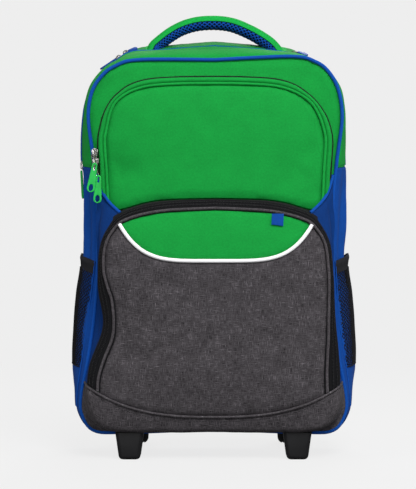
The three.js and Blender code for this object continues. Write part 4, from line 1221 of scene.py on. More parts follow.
def make_zip_band(sizes):
    """The lower pocket's black zip band with its two coils, the piping inside it, and the cloth behind its top."""
    def line(inset, y, above, count):
        return on_depth(pocket_ring(np.linspace(*base_ends(1, inset, above), count), 1, inset), y)

    insets = ZIP_BAND_ROWS.inset
    band_piece("pocket_zip_band", "zip tape", ZIP_BAND_ROWS, lambda s, k: pocket_ring(s, 1, insets[k]),
               lambda k: base_ends(1, insets[k], 2.3), 1.2, 31)
    coils = [facing(line(inset, y, 2, 420)) for inset, y in rows_of(POCKET_COILS)]
    row_piece("pocket_zip_coils", "zip coil", coils, sizes.tooth_pitch / MM, (1.0, 2.0, 1.0))
    # A thin black cord inside the piping: painted shadow of the gap between the piping and the panels.
    cord_piece("pocket_seam_line", "black cord", [line(13.9, -104.7, 3, 300)], 1.1)
    pipe = line(POCKET_PIPE.inset, POCKET_PIPE.y, 2.2, 300)
    cord_piece("pocket_piping", "heather cord", [pipe], POCKET_PIPE.radius)
    start, rows = wing_top_share() - 0.012, POCKET_TOP_ROWS
    band_piece("pocket_top", "black weave", rows, lambda s, k: pocket_ring(s, rows.front[k], rows.inset[k]),
               lambda k: (start, 1 - start), 1.4, 33)


def wing_top_share():
    """The share at which the right wing's upper edge meets the lower pocket's front."""
    share = np.linspace(0.3, 0.46, 500)
    flat = pocket_ring(share)
    end = wing_line(1, 1.0)
    return share[np.hypot(flat[:, 0] - end[0], flat[:, 1] - end[2]).argmin()]


def wing_sheet(side, across, up):
    """Points of a wing, filled in between its four edges; across runs from back to front, and up from the base."""
    def back_ring(share):
        return front_ring(POCKET_BACK, pocket_share(share))

    back_low = crossing(back_ring, base_edge, 0.04, 0.36)
    tip = crossing(back_ring, lambda x: WING.tip_z + 0 * x, 0.2, 0.46)
    right_low, left_low = base_ends(1, WING.inset)
    front_low = right_low if side > 0 else 1 - left_low
    back = on_depth(onto_seam(back_ring(side * (back_low + (tip - back_low) * up))), SEAM_REACH.y)
    front = pocket_ring(side * (front_low + (wing_top_share() - front_low) * up), 1, WING.inset)
    front = on_depth(front, WING.y)
    low = back[0] + (front[0] - back[0]) * across[:, None]
    low[:, 2] = base_edge(low[:, 0])
    top = wing_line(side, across)
    top += (back[-1] - top[0]) * (1 - across)[:, None] + (front[-1] - top[-1]) * across[:, None]
    u, v = across[None, :, None], up[:, None, None]
    sides = (1 - u) * back[:, None] + u * front[:, None]
    levels = (1 - v) * low + v * top
    corners = (1 - v) * ((1 - u) * low[0] + u * low[-1]) + v * ((1 - u) * top[0] + u * top[-1])
    return sides + levels - corners


def make_wings():
    """The blue wings that climb each side of the lower pocket, and the piping along their upper edges."""
    across, up = eased(16), np.linspace(0, 1, 64)
    u, v = (grid.ravel() for grid in np.meshgrid(across, up))
    weave = grid_weave(across * WING.wide, up * WING.tall)
    edge = np.minimum(u, 1 - u) * 30
    hollow = np.sin(math.pi * u) * ramp(v, 0, 0.15) * ramp(v, 0.95, 0.65)
    for side, end in SIDES:
        flat = wing_sheet(side, across, up).reshape(-1, 3)
        heights = (dip(edge, 1.3, 2.2) + ripples(flat, 24, 1.2, 40 + side) * np.minimum(1, edge / 3) -
                   WING.hollow * hollow + WING.folds * folds(u, v, WING_FOLDS) * np.minimum(1, edge / 5))
        # The wings take the blue made darker, painted shade for the hollow that they lie in.
        cloth_piece("wing_" + end, "deep blue weave", flat, grid_faces(len(up), len(across)), weave, 1.8, heights)
        line = wing_line(side, np.linspace(0, 1, 40))
        line[:, 1] -= 0.6
        cord_piece("wing_piping_" + end, "blue cord", [line], 1.9)


def face_run(first, last, count):
    """Points round the lower pocket's face between two shares."""
    return resampled(pocket_ring(np.linspace(first, last, count), 1, FACE_INSET), EDGE_STEP)


def yoke_ends(above=0.0, inset=FACE_INSET):
    """The shares at which the lower pocket's face meets the yoke's edge, on the right and past the top."""
    return both_ends(lambda s: pocket_ring(s, 1, inset), lambda x: yoke_edge(x) + above, 0.3, 0.46)


def make_pocket_face():
    """The lower pocket's front: the heather panel, the green yoke, the white piping between them and the tab."""
    low_right, low_left = base_ends(1, FACE_INSET, FACE_GAP)
    high_right, high_left = yoke_ends(-FACE_GAP)
    rising, falling = face_run(low_right, high_right, 300), face_run(high_left, low_left, 300)
    edge = np.concatenate([rising, inner_line(rising[-1, 0], falling[0, 0], 64, lambda x: yoke_edge(x) - FACE_GAP),
                           falling, inner_line(falling[-1, 0], rising[0, 0], 70, lambda x: base_edge(x) + FACE_GAP)])
    panel_piece("pocket_panel", "heather", edge, pocket_face, FACE_SEAM, (10, 0.7, 5), (46, 1.1, 14), (14, 0.3, 15),
                spacing=ROW_STEP, extra=folds_in(PANEL_DENTS))
    over = face_run(*yoke_ends(FACE_GAP), 500)
    left, right = over[-1, 0], over[0, 0]
    under = inner_line(left, right, 2 + round((right - left) / EDGE_STEP), lambda x: yoke_edge(x) + FACE_GAP)
    panel_piece("pocket_yoke", "green weave", np.concatenate([over, under]), pocket_face, FACE_SEAM, (9, 0.7, 6),
                (40, 0.9, 16), (14, 0.3, 17), spacing=ROW_STEP)
    right, left = pocket_ring(np.array(yoke_ends(inset=YOKE_PIPE.inset)), 1, YOKE_PIPE.inset)[:, 0]
    line = face_line(np.linspace(left, right, 90), yoke_edge, YOKE_PIPE.proud)
    cord_piece("yoke_piping", "white cord", [line], YOKE_PIPE.radius)
    make_base_piping()
    make_tab()


def face_line(x, line, proud):
    """Points of a line z(x) on the lower pocket's front."""
    flat = np.stack([x, line(x)], -1)
    return on_depth(flat, pocket_face(flat) - proud)


def make_base_piping():
    """Heather piping along the base panel's upper edge, round to the front seam."""
    right, left = pocket_ring(np.array(base_ends(1, ZIP_BAND)), 1, ZIP_BAND)[:, 0]
    middle = face_line(np.linspace(left, right, 121), base_edge, BASE_PIPE.proud)
    rows = list(rows_of(POCKET_EDGE))[1:]
    turns = [np.array([on_depth(pocket_ring(base_ends(front, inset)[side], front, inset), y)
                       for front, inset, y in rows]) for side in (0, 1)]
    line = np.concatenate([turns[1][::-1], middle, turns[0]])
    cord_piece("base_piping", "heather cord", [resampled(line, 3)], BASE_PIPE.radius)


TAB = Sizes(left=69.9, right=84, bottom=282.2, top=295.3, layer=0.8, loop=0.75, lean=0.9, slant=1.8)


def make_tab():
    """The folded webbing tab that hangs from the piping."""
    low, high, loop_r = TAB.bottom, TAB.top, TAB.loop
    turn = np.linspace(-math.pi / 2, math.pi / 2, 7)[1:-1]
    bottom = low + loop_r
    z = np.concatenate([np.linspace(high, bottom, 9), bottom - loop_r * np.cos(turn), np.linspace(bottom, high, 9)])
    out = np.concatenate([np.zeros(9), loop_r + loop_r * np.sin(turn), np.full(9, 2 * loop_r)])
    x = np.linspace(TAB.left, TAB.right, 12)
    down = ((high - z) / (high - low))[:, None]
    flat = np.stack([x - TAB.lean * down, z[:, None] - TAB.slant * down * np.linspace(0, 1, len(x))], -1)
    solid = on_depth(flat, pocket_face(flat) - 1.2 - out[:, None]).reshape(-1, 3)
    weave = grid_weave(x, lengths_along(np.stack([z, out], -1)))
    faces = facing_out(solid, grid_faces(len(z), len(x)), solid.mean(0))
    raised = ripples(solid, 6, 0.2, 51)
    cloth_piece("pocket_tab", "blue weave", solid, faces, weave, TAB.layer, raised, turned=True, sheet=False)


# The side pockets.

SIDE_GRID_Y = np.linspace(FRONT_SEAM_Y, BACK_SEAM_Y, 67)
SIDE_GRID_Z = np.linspace(40, 420, 191)
TOP_GRID_X = np.linspace(-130, 130, 131)
TOP_GRID_Y = np.linspace(0, 60, 31)


def side_rows(side):
    """How far out a side lies, on a grid of depths and heights."""
    share = side * np.linspace(0.1, 0.43, 500)
    columns = [main_at(share, y) for y in SIDE_GRID_Y]
    return np.array([np.interp(SIDE_GRID_Z, c[:, 2], side * c[:, 0]) for c in columns])


def top_rows():
    """How high the top lies, on a grid of places across and depths."""
    share = np.linspace(0.66, 0.34, 500)
    columns = [main_at(share, y) for y in TOP_GRID_Y]
    return np.array([np.interp(TOP_GRID_X, c[:, 0], c[:, 2]) for c in columns]).T


def blended(rows, a_lines, b_lines, a, b):
    """Values between a grid's lines."""
    i = np.clip(np.searchsorted(a_lines, a) - 1, 0, len(a_lines) - 2)
    j = np.clip(np.searchsorted(b_lines, b) - 1, 0, len(b_lines) - 2)
    u = ramp(a, a_lines[i], a_lines[i + 1])
    v = ramp(b, b_lines[j], b_lines[j + 1])
    near = rows[i, j] * (1 - v) + rows[i, j + 1] * v
    far = rows[i + 1, j] * (1 - v) + rows[i + 1, j + 1] * v
    return near * (1 - u) + far * u


SIDE_OUT = {side: side_rows(side) for side in (-1, 1)}
TOP_UP = top_rows()


def side_point(side, y, z, off=0.0):
    """Points of a side pocket at depths and at heights before its middle is raised."""
    pocket = SIDE_POCKET
    across = ramp(y, -pocket.half, pocket.half)
    swell = np.sin(math.pi * across) ** 0.7
    raised = z + pocket.rise * swell * (z - pocket.bottom) / (pocket.top - pocket.bottom)
    stand = smooth_between(SIDE_STAND, z) * (pocket.fuller_right if side > 0 else 1)
    up = ramp(z, pocket.net, pocket.top)
    y = y - pocket.forward * up * ramp(-y, 0, pocket.half)
    x = blended(SIDE_OUT[side], SIDE_GRID_Y, SIDE_GRID_Z, y, raised) + pocket.seat + stand * swell + off
    x = x + side * pocket.lean * swell * up**4
    return np.stack([side * x, y, raised], -1)


def side_sheet(side, low, high, columns, rows):
    """A side pocket's cloth between two heights: its points, its directions and its faces."""
    half = SIDE_POCKET.half
    y, z = np.meshgrid(np.linspace(-half, half, columns), np.linspace(low, high, rows))
    weave = np.stack([y, z], -1).reshape(-1, 2)
    return side_point(side, y, z).reshape(-1, 3), weave, grid_faces(rows, columns)


def net_lines(side, pitch):
    """Threads of a net, in two slanting ways."""
    half, low, high = SIDE_POCKET.half, SIDE_POCKET.net, SIDE_POCKET.elastic
    tall = high - low
    z = np.linspace(low, high, 34)
    lines = []
    for way in (-1, 1):
        for start in np.arange(-half - tall, half + tall, pitch * math.sqrt(2)):
            y = way * (start + (z - low))
            inside = np.abs(y) <= half - 0.4
            if inside.sum() > 1:
                lines.append(side_point(side, y[inside], z[inside], 0.2 * way))
    return lines


def make_side_pockets(sizes):
    """The net pockets on both sides: a blue foot, the net, its elastic band, and the seams round them."""
    pocket = SIDE_POCKET
    half, low, net, high = pocket.half, pocket.bottom, pocket.net, pocket.top
    for side, end in SIDES:
        points, weave, faces = side_sheet(side, low, net + 1, 40, 20)
        heights = ripples(points, 26, 0.7, 60 + side) + dip(np.abs(points[:, 2] - net), 0.3, 2)
        cloth_piece("side_base_" + end, "blue weave", points, faces, weave, 1.4, heights)
        cord_piece("side_net_" + end, "net thread", net_lines(side, sizes.net_pitch / MM), sizes.net_thread / MM,
                   sides=5)
        points, weave, faces = side_sheet(side, pocket.elastic, high, 301, 9)
        up = (weave[:, 1] - pocket.elastic) / (high - pocket.elastic)
        rolled = 1.3 * bell(up - 0.72, 0.24) - 0.5 * bell(up, 0.16)
        rib = 0.28 * np.sin(2 * math.pi * points[:, 1] / 2.2) * np.sin(math.pi * up)
        cloth_piece("elastic_" + end, "elastic", points, faces, weave, 1.8, rolled + rib)
        z = np.linspace(low, high, 60)
        edges = [side_point(side, np.full(60, y), z, 0.4) for y in (-half, half)]
        cord_piece("side_binding_" + end, "blue cord", edges, 0.65)
        seam = side_point(side, np.linspace(-half, half, 60), np.full(60, net + 0.3), 0.3)
        cord_piece("side_foot_seam_" + end, "net thread", [seam], 0.6)


# The top handle.

def handle_point(place, across, down):
    """Points of the top handle: along its arch, across it and down from its upper line."""
    line = through(HANDLE_ARCH, place)
    along = unit(through(HANDLE_ARCH, place + NEAR) - through(HANDLE_ARCH, place - NEAR))
    x = line[..., 0] + along[..., 1] * down
    z = line[..., 1] - along[..., 0] * down
    y = HANDLE.y + across
    floor = blended(TOP_UP, TOP_GRID_X, TOP_GRID_Y, x, y) + 0.4
    return np.stack([x, np.broadcast_to(y, x.shape), np.maximum(z, floor)], -1)


def cover_section(turn):
    """The cover's section: across and down, for turns round it."""
    across = HANDLE.half * np.sign(np.cos(turn)) * np.abs(np.cos(turn)) ** 0.75
    up = np.sin(turn)
    down = HANDLE.cover * np.where(up > 0, 1 - np.maximum(up, 0) ** 0.8, 1 + 0.06 * np.abs(up))
    return across, down


def filling_section(turn):
    """The air-mesh filling's section, flat above and round below."""
    half, top = HANDLE.half - 1.3, HANDLE.cover + 0.5
    across = half * np.sign(np.cos(turn)) * np.abs(np.cos(turn)) ** 0.7
    down = top + HANDLE.filling * np.clip(-np.sin(turn), 0, 1) ** 0.62
    return across, down


def padded_length(name, look_name, section, swell, seed):
    """A closed padded length of the handle with a given section."""
    turn = 2 * math.pi * shares_round(40)
    place = np.linspace(0.012, 0.988, 90)
    across, down = section(turn)
    rings = handle_point(np.repeat(place[:, None], len(turn), 1), across[None], down[None])
    points, faces = lofted(rings)
    faces = [np.array(faces[:-2]), np.array(faces[-2:])]
    normals = vertex_normals(points, faces[:1])
    if (normals.reshape(rings.shape) * (rings - rings.mean(1, keepdims=True))).sum() < 0:
        faces, normals = [group[:, ::-1] for group in faces], -normals
    points = points + normals * ripples(points, 12, swell, seed)[:, None]
    weave = grid_weave(1.2 * np.arange(1, len(turn) + 1), place * HANDLE.length)
    dressed(mesh_object(name, points, faces, weave), look_name)


def handle_lattice(pitch):
    """Threads of the air mesh that covers the handle's filling."""
    lines = []
    turns = math.pi * (1.5 - 0.498 * np.cos(np.linspace(0, math.pi, 40)))
    lean = AIR_MESH.lean / AIR_MESH.length
    for way in (-1, 1):
        for start in np.arange(-lean, 1 + lean, pitch / AIR_MESH.length):
            place = start + way * lean * np.linspace(-0.5, 0.5, 40)
            inside = (place > 0.035) & (place < 0.965)
            if inside.sum() > 1:
                across, down = filling_section(turns[inside])
                lines.append(handle_point(place[inside], across, down + 0.35 + 0.15 * way))
    return lines


def make_handle(sizes):
    """The padded top handle: green cover above, blue air mesh below."""
    # The cover takes the green made lighter, painted light from above.
    padded_length("handle_cover", "bright green weave", cover_section, 0.35, 71)
    padded_length("handle_filling", "air mesh base", filling_section, 0.2, 72)
    cord_piece("handle_mesh", "air mesh", handle_lattice(sizes.mesh_pitch / MM), AIR_MESH.radius, sides=6)


# Zip sliders and their pulls.

def plate(loops, thick, bevel, place):
    """A flat plate with softened edges, cut from closed loops of points in millimetres, put in its place."""
    curve = bpy.data.curves.new("plate", "CURVE")
    curve.dimensions = "2D"
    curve.fill_mode = "BOTH"
    curve.extrude = thick / 2 - bevel
    curve.bevel_depth = bevel
    curve.bevel_resolution = 2
    curve.offset = -bevel
    for points in loops:
        spline = curve.splines.new("POLY")
        spline.points.add(len(points) - 1)
        spline.points.foreach_set("co", [v for x, y in points for v in (x, y, 0, 1)])
        spline.use_cyclic_u = True
    mesh = plain_mesh(link("plate", curve))
    bpy.data.curves.remove(curve)
    mesh.transform(place)
    return mesh


def wire(line, radius, place=Matrix(), loop=False, sides=10):
    """A round wire along a line in millimetres, put in its place."""
    mesh = raw_mesh(*tube(line, radius, sides, loop))
    mesh.transform(place)
    return mesh


def finished(name, whole, crease):
    """An object of an edited mesh, with its faces outwards."""
    bmesh.ops.recalc_face_normals(whole, faces=whole.faces)
    mesh = bpy.data.meshes.new(name)
    whole.to_mesh(mesh)
    whole.free()
    return smoothed(name, mesh, crease)


def assembled(name, *meshes, crease=40):
    """One object, in metres, of several meshes in millimetres."""
    whole = bmesh.new()
    for mesh in meshes:
        whole.from_mesh(mesh)
        bpy.data.meshes.remove(mesh)
    bmesh.ops.remove_doubles(whole, verts=whole.verts, dist=1e-3)
    bmesh.ops.scale(whole, vec=(MM, MM, MM), verts=whole.verts)
    return finished(name, whole, crease)


def stood_at(origin, along, out):
    """A place with its second direction along a line and its third out of the cloth."""
    along = Vector(along).normalized()
    out = Vector(out)
    out = (out - along * out.dot(along)).normalized()
    turn = Matrix((along.cross(out), along, out)).transposed().to_4x4()
    return Matrix.Translation(Vector(origin)) @ turn


def arc(middle, radius, start, stop, count):
    """Points of an arc, its angles in half turns."""
    angle = np.linspace(start, stop, count) * math.pi
    return np.stack([middle[0] + radius * np.cos(angle), middle[1] + radius * np.sin(angle)], -1)


def slider_meshes(place):
    """A zip slider on the zip's face: a shield-shaped body, a narrower top plate and the bridge over it."""
    body = np.concatenate([arc((0, 2.2), 4.3, 0, 1, 13), arc((0, -3.2), 3.2, 1, 2, 11)])
    top = np.concatenate([arc((0, 2.4), 3.2, 0, 1, 13), arc((0, -2.8), 2.3, 1, 2, 11)])
    bridge = [(0, 4.6, 3.2), (0, 4.4, 4.6), (0, 2.6, 5.9), (0, 0, 6.4), (0, -2.6, 5.9), (0, -3.9, 4.6), (0, -4, 3.2)]
    return [plate([body], 2.0, 0.5, place @ Matrix.Translation((0, 0, 1.0))),
            plate([top], 1.3, 0.4, place @ Matrix.Translation((0, 0, 3.2))),
            wire(resampled(np.array(bridge), 0.6), 0.75, place)]


def pull_loops(length, top, bottom):
    """Outlines of a rubber pull that hangs from its slot: its body, the slot and the oval hole."""
    body = np.concatenate([arc((0, -top), top, 0, 1, 13), arc((0, bottom - length), bottom, 1, 2, 17)])
    slot = np.concatenate([arc((0, -3.6), 1.1, 0, 1, 7), arc((0, -8.4), 1.1, 1, 2, 7)])
    angle = 2 * math.pi * shares_round(28)
    hole = np.stack([(bottom - 2.3) * np.cos(angle), bottom + 0.6 - length + 4.2 * np.sin(angle)], -1)
    return [body, slot, hole]


def hanging_link(low, high, wide, bow):
    """A wire link from a slider's bridge down to a pull's slot, bowed at both ends."""
    x0, y0, z0 = high
    x1, y1, z1 = low
    foot = wide * 0.7
    line = np.array([(x0 - wide, y0, z0), (x1 - foot, y1, z1), (x1, y1 + bow, z1 - 1.4), (x1 + foot, y1, z1),
                     (x0 + wide, y0, z0), (x0, y0 - bow, z0 + 1.6), (x0 - wide, y0, z0)])
    return wire(resampled(line, 1.2)[:-1], 0.55, loop=True, sides=8)


HANGING = table("slider_x slider_z pull_x pull_y pull_z length lean", (-143.4, 369, -142.5, -91.7, 357, 36, 0.168),
                (-142.4, 357.5, -138.5, -87, 342.6, 34.2, 0.05))
SLIDER_SEAT_Y = -76
SLIDER_OUT = (-0.45, -0.9, 0)
# The main zip's sliders on top: their places across, and where their pulls begin and end.
LYING = table("x head_x head_z tail_x tail_z tip", (-110, -107.5, 502.4, -95.5, 506.4, -0.5),
              (-118.5, -123, 492.6, -142.5, 479.6, -0.12), (102, 106.2, 501.4, 119.5, 497.2, -0.45))
LYING_SCALE = 0.75
# The rubber pulls: the radii of their ends, their thickness and the softening of their edges.
GREEN_PULL = Sizes(top=3.2, bottom=5.0, thick=2.4, bevel=0.7)
BLUE_PULL = Sizes(top=2.6, bottom=4.2, thick=2.2, bevel=0.6)
SIDE_PULL = Sizes(y=0, slider=358, top=351.7, length=35.6, off=2.4, out=(-0.978, -0.208, 0))


def green_pull(name, length, place):
    """A green rubber pull with its slot and hole."""
    loops = pull_loops(length, GREEN_PULL.top, GREEN_PULL.bottom)
    dressed(assembled(name, plate(loops, GREEN_PULL.thick, GREEN_PULL.bevel, place)), "green rubber")


def make_hanging_pulls():
    """The upper pocket's two sliders, with their rubber pulls hanging in front of the left edge."""
    for end, (slider_x, slider_z, x, y, z, length, lean) in zip("ab", rows_of(HANGING)):
        place = stood_at((slider_x, SLIDER_SEAT_Y, slider_z), (0.06, 0, 1), SLIDER_OUT)
        bridge = (slider_x - 2.4, SLIDER_SEAT_Y - 5.6, slider_z - 2.5)
        held = hanging_link((x - lean * 5, y, z - 4.2), bridge, 1.9, 1.6)
        dressed(assembled("upper_slider_" + end, *slider_meshes(place), held), "nickel")
        green_pull("upper_pull_" + end, length, stood_at((x, y, z), (lean, 0, 1), FORWARD))


def top_place(x, y):
    """A point on the bag's top, the way along it to the right and the way out of it."""
    share = np.linspace(0.75, 0.25, 2000)
    at = np.interp(x, main_at(share, y)[:, 0], share)
    origin, ahead, behind = main_at(at + np.array([0, -NEAR, NEAR]), y)
    return origin, unit(ahead - behind), outward(at, y)


def make_lying_pulls():
    """The main zip's three sliders on top, and their blue pulls lying along the zip."""
    y = ZIP_MIDDLE
    for end, (x, head_x, head_z, tail_x, tail_z, tip) in zip("abc", rows_of(LYING)):
        origin, along, out = top_place(x, y)
        towards = along if x < head_x else -along
        seat = stood_at(origin - out * 1.2, towards, out) @ Matrix.Scale(LYING_SCALE, 4)
        head, tail = np.array([head_x, y, head_z]), np.array([tail_x, y, tail_z])
        ring_top = origin + out * 2.8
        held = np.array([ring_top, (ring_top + head) / 2 + out * 0.4, head + (tail - head) * 0.2])
        parts = [*slider_meshes(seat), wire(resampled(held, 0.8), 0.6)]
        # The sliders on the top take the nickel made darker, painted shade.
        dressed(assembled("main_slider_" + end, *parts), "dark nickel")
        body = pull_loops(np.linalg.norm(tail - head), BLUE_PULL.top, BLUE_PULL.bottom)[:1]
        place = stood_at(head, head - tail, top_place(head_x, y)[2] + np.array([0, tip, 0]))
        dressed(assembled("main_pull_" + end, plate(body, BLUE_PULL.thick, BLUE_PULL.bevel, place)), "blue rubber")


def make_side_pull():
    """The main zip's lower slider on the left side, with its green pull."""
    y, top, length = SIDE_PULL.y, SIDE_PULL.top, SIDE_PULL.length
    levels = np.array([SIDE_PULL.slider, top, top - length])
    reach, high, low = -blended(SIDE_OUT[-1], SIDE_GRID_Y, SIDE_GRID_Z, np.full(3, float(y)), levels)
    seat = stood_at((reach + 0.8, y, levels[0]), (0, 0, 1), (-1, 0, 0)) @ Matrix.Diagonal((0.9, 1, 0.6, 1))
    dressed(assembled("side_slider", *slider_meshes(seat)), "nickel")
    place = stood_at((high - SIDE_PULL.off, y, top), (high - low, 0, length), SIDE_PULL.out)
    green_pull("side_pull", length, place)


# Feet, wheels and the pull handle.

FOOT = Sizes(x=101, y=-84, half_depth=14, corner=5)
FOOT_ROWS = table("z half inward", (0, 13, 4.6), (0.5, 13, 2.6), (1.5, 13, 1.3), (3, 13.1, 0.4), (5, 13.3, 0),
                  (20, 15.4, 0), (31, 17, 0), (32.5, 17.5, 0))
WHEEL = Sizes(x=97, y=86.4, r=30)
# The hub's raised spokes on each face.
SPOKE = Sizes(count=6, out=9.4, r=13.2, half_wide=1.5, half_long=4.8, corner=0.8, thick=2.2, bevel=0.4)
HARD_CREASE = 35
# The wheel's half profile: out from its middle, and its radius.
TYRE_PROFILE = table("out r", (0, 29.1), (1.2, 29.1), (1.8, 30), (5.6, 30), (6.2, 29.2), (7.0, 29.2), (7.6, 29.9),
                     (9.6, 29), (11.4, 27.2), (12.5, 24.8), (12.6, 22.4), (11.8, 21.2), (9, 20.9))
HUB_PROFILE = table("out r", (9, 20.8), (10.4, 20.2), (10.6, 18.6), (8.6, 17.8), (8.2, 12), (8.6, 9.6), (12.2, 8.8),
                    (12.8, 8.0), (12.9, 5), (12.4, 4.45))


def rounded_box(half_x, half_y, corner, count=7):
    """Points round a rectangle with rounded corners."""
    corners = ((1, 1, 0), (-1, 1, 0.5), (-1, -1, 1), (1, -1, 1.5))
    return np.concatenate([arc((sx * (half_x - corner), sy * (half_y - corner)), corner, turn, turn + 0.5, count)
                           for sx, sy, turn in corners])


def make_feet():
    """The two front feet: blocks that taper down to rounded edges."""
    for side, end in SIDES:
        rings = []
        for z, half, inward in rows_of(FOOT_ROWS):
            flat = rounded_box(half - inward, FOOT.half_depth - inward, max(1.5, FOOT.corner - inward * 0.6))
            rings.append(np.stack([side * FOOT.x + flat[:, 0], FOOT.y + flat[:, 1], np.full(len(flat), z)], -1))
        dressed(assembled("foot_" + end, raw_mesh(*lofted(rings)), crease=HARD_CREASE), "black plastic")


def turned_profile(profile, x, steps, wave=None):
    """A ring turned round the wheel's axle from a half profile and its mirror image."""
    out = np.concatenate([profile.out[::-1], -profile.out])
    radius = np.concatenate([profile.r[::-1], profile.r])
    keep = np.concatenate([[True], (np.abs(np.diff(out)) + np.abs(np.diff(radius))) > 1e-6])
    out, radius = out[keep], radius[keep]
    rings = []
    for angle in 2 * math.pi * shares_round(steps):
        reach = radius if wave is None else radius + wave(out, radius, angle)
        rings.append(np.stack([x + out, WHEEL.y + reach * math.cos(angle), WHEEL.r + reach * math.sin(angle)], -1))
    return lofted(rings, loop=True)


def tread(out, radius, angle):
    """Shallow cross grooves in the tyre's shoulders."""
    groove = max(0.0, math.cos(24 * angle)) ** 6
    return -0.5 * groove * ((np.abs(out) > 6.8) & (radius > 26))


def make_wheels():
    """The two wheels: rubber tyres with a grooved tread on dished hubs, turning on their axles."""
    spoke = rounded_box(SPOKE.half_wide, SPOKE.half_long, SPOKE.corner, 4)
    for side, end in SIDES:
        body, x = end + "_wheel", side * WHEEL.x
        tyre = raw_mesh(*turned_profile(TYRE_PROFILE, x, 192, tread))
        dressed(assembled("wheel_" + end, tyre, crease=HARD_CREASE), "tyre", body)
        hub = [raw_mesh(*turned_profile(HUB_PROFILE, x, 72))]
        for angle in 2 * math.pi * shares_round(SPOKE.count):
            out = Vector((0, math.cos(angle), math.sin(angle)))
            for face in (-1, 1):
                middle = Vector((x + face * SPOKE.out, WHEEL.y, WHEEL.r)) + out * SPOKE.r
                hub.append(plate([spoke], SPOKE.thick, SPOKE.bevel, stood_at(middle, out, (face, 0, 0))))
        dressed(assembled("wheel_hub_" + end, *hub, crease=HARD_CREASE), "black plastic", body)
        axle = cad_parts["axle_" + end].data.materials
        axle.clear()
        axle.append(look("nickel"))


def softened_copy(node, look_name, width, segments=2, body="bag"):
    """A piece that copies a CAD solid, with its flat faces merged and its sharp edges rounded."""
    whole = bmesh.new()
    whole.from_mesh(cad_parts[node].data)
    bmesh.ops.remove_doubles(whole, verts=whole.verts, dist=1e-6)
    bmesh.ops.dissolve_limit(whole, angle_limit=math.radians(1), verts=whole.verts, edges=whole.edges)
    sharp = [e for e in whole.edges if len(e.link_faces) == 2 and e.calc_face_angle(0) > math.radians(25)]
    bmesh.ops.bevel(whole, geom=sharp, offset=width * MM, segments=segments, profile=0.5, affect="EDGES",
                    clamp_overlap=True)
    dressed(finished(node, whole, HARD_CREASE), look_name, body)


def make_brackets():
    """The brackets that hold the wheels."""
    for _, end in SIDES:
        softened_copy("wheel_bracket_" + end, "black plastic", 0.7)


def make_pull_handle():
    """The telescopic pull handle: fixed tubes on the back, and rods with a grip that slide in them."""
    for _, end in SIDES:
        softened_copy("pull_tube_" + end, "dark tube", 0.8)
        softened_copy("pull_rod_" + end, "bright tube", 1.2, 3, "pull_handle")
    softened_copy("pull_grip", "black plastic", 1.2, 3, "pull_handle")


# Stitches.

def stitched(name, look_name, faced_lines, sizes):
    """Rows of stitches that lie on the cloth."""
    row_piece(name, look_name, faced_lines, sizes.stitch_pitch / MM, (sizes.stitch_length / MM, 0.6, 0.5))


def make_stitches(sizes):
    """Stitch lines along the base's edge, the colours' seam, the main zip and the top handle."""
    line = face_line(np.linspace(-132, 132, 180), lambda x: base_edge(x) - 5.2, 0.5)
    stitched("base_stitches", "grey thread", [facing(line)], sizes)
    green, blue = [], []
    y = np.linspace(-62, 60, 90)
    for sign in (1, -1):
        for above, lines in ((3.2, green), (-3.2, blue)):
            share = sign * colour_seam_share(y, above)
            out = outward(share, y)
            line = main_at(share, y) + out * 0.15
            clear = (y < ZIP_Y[0] - 3) | (y > ZIP_Y[1] + 3) | (above < 0)
            lines += [(line[part], out[part]) for part in (clear & (y < ZIP_MIDDLE), clear & (y >= ZIP_MIDDLE))]
    for y_line in (ZIP_Y[0] - 3.4, ZIP_Y[1] + 3.4):
        start = upper_start(y_line)[0] + 0.01
        even = np.linspace(start, 1 - start, 260)
        out = outward(even, y_line)
        green.append((main_at(even, y_line) + out * 0.1, out))
    place = np.linspace(0.06, 0.94, 120)
    for side, _ in SIDES:
        line = handle_point(place, np.full(len(place), side * 12.6), np.full(len(place), 2.4))
        green.append(facing(line, (0.0, side * 0.7, 0.7)))
    stitched("green_stitches", "green cord", green, sizes)
    stitched("blue_stitches", "blue cord", blue, sizes)


# The stage.

CAMERA = Sizes(place=(-6.6, -2189, 258.6), focal=1742, frame_height=489, sensor=36)


def make_camera():
    """A level camera straight in front, as in the photograph."""
    data = bpy.data.cameras.new("camera")
    data.sensor_width = CAMERA.sensor
    data.lens = CAMERA.focal / CAMERA.frame_height * CAMERA.sensor
    camera = link("camera", data)
    camera.location = Vector(CAMERA.place) * MM
    camera.rotation_euler = (math.pi / 2, 0, 0)
    bpy.context.scene.camera = camera


FLOOR_HALF = 40000


def make_floor(stage):
    """A pale floor that glows as brightly as the room behind it, so that no edge shows."""
    corners = np.array([(-1, -1, 0), (1, -1, 0), (1, 1, 0), (-1, 1, 0)]) * FLOOR_HALF
    obj = mesh_object("floor", corners, [np.array([[0, 1, 2, 3]])])
    tree, shader = finish("floor", 0.9, specular=0.0)
    shader.inputs["Emission Color"].default_value = (*stage.floor, 1)
    away = add_node(tree, "ShaderNodeVectorMath", {0: place_of(tree, False)}, operation="LENGTH").outputs["Value"]
    far = add_node(tree, "ShaderNodeMapRange", {"Value": away, "From Min": 0.3, "From Max": 1.6}).outputs["Result"]
    ramped(tree, shader, far, (0, shade(stage.floor, stage.floor_shadow)), (1, (0, 0, 0)))
    glow = summed(tree, (far, 1 - stage.floor_glow), (stage.floor_glow, 1.0))
    tree.links.new(glow, shader.inputs["Emission Strength"])
    obj.data.materials.append(bpy.data.materials["floor"])
    obj.visible_diffuse = False
    obj.visible_glossy = False


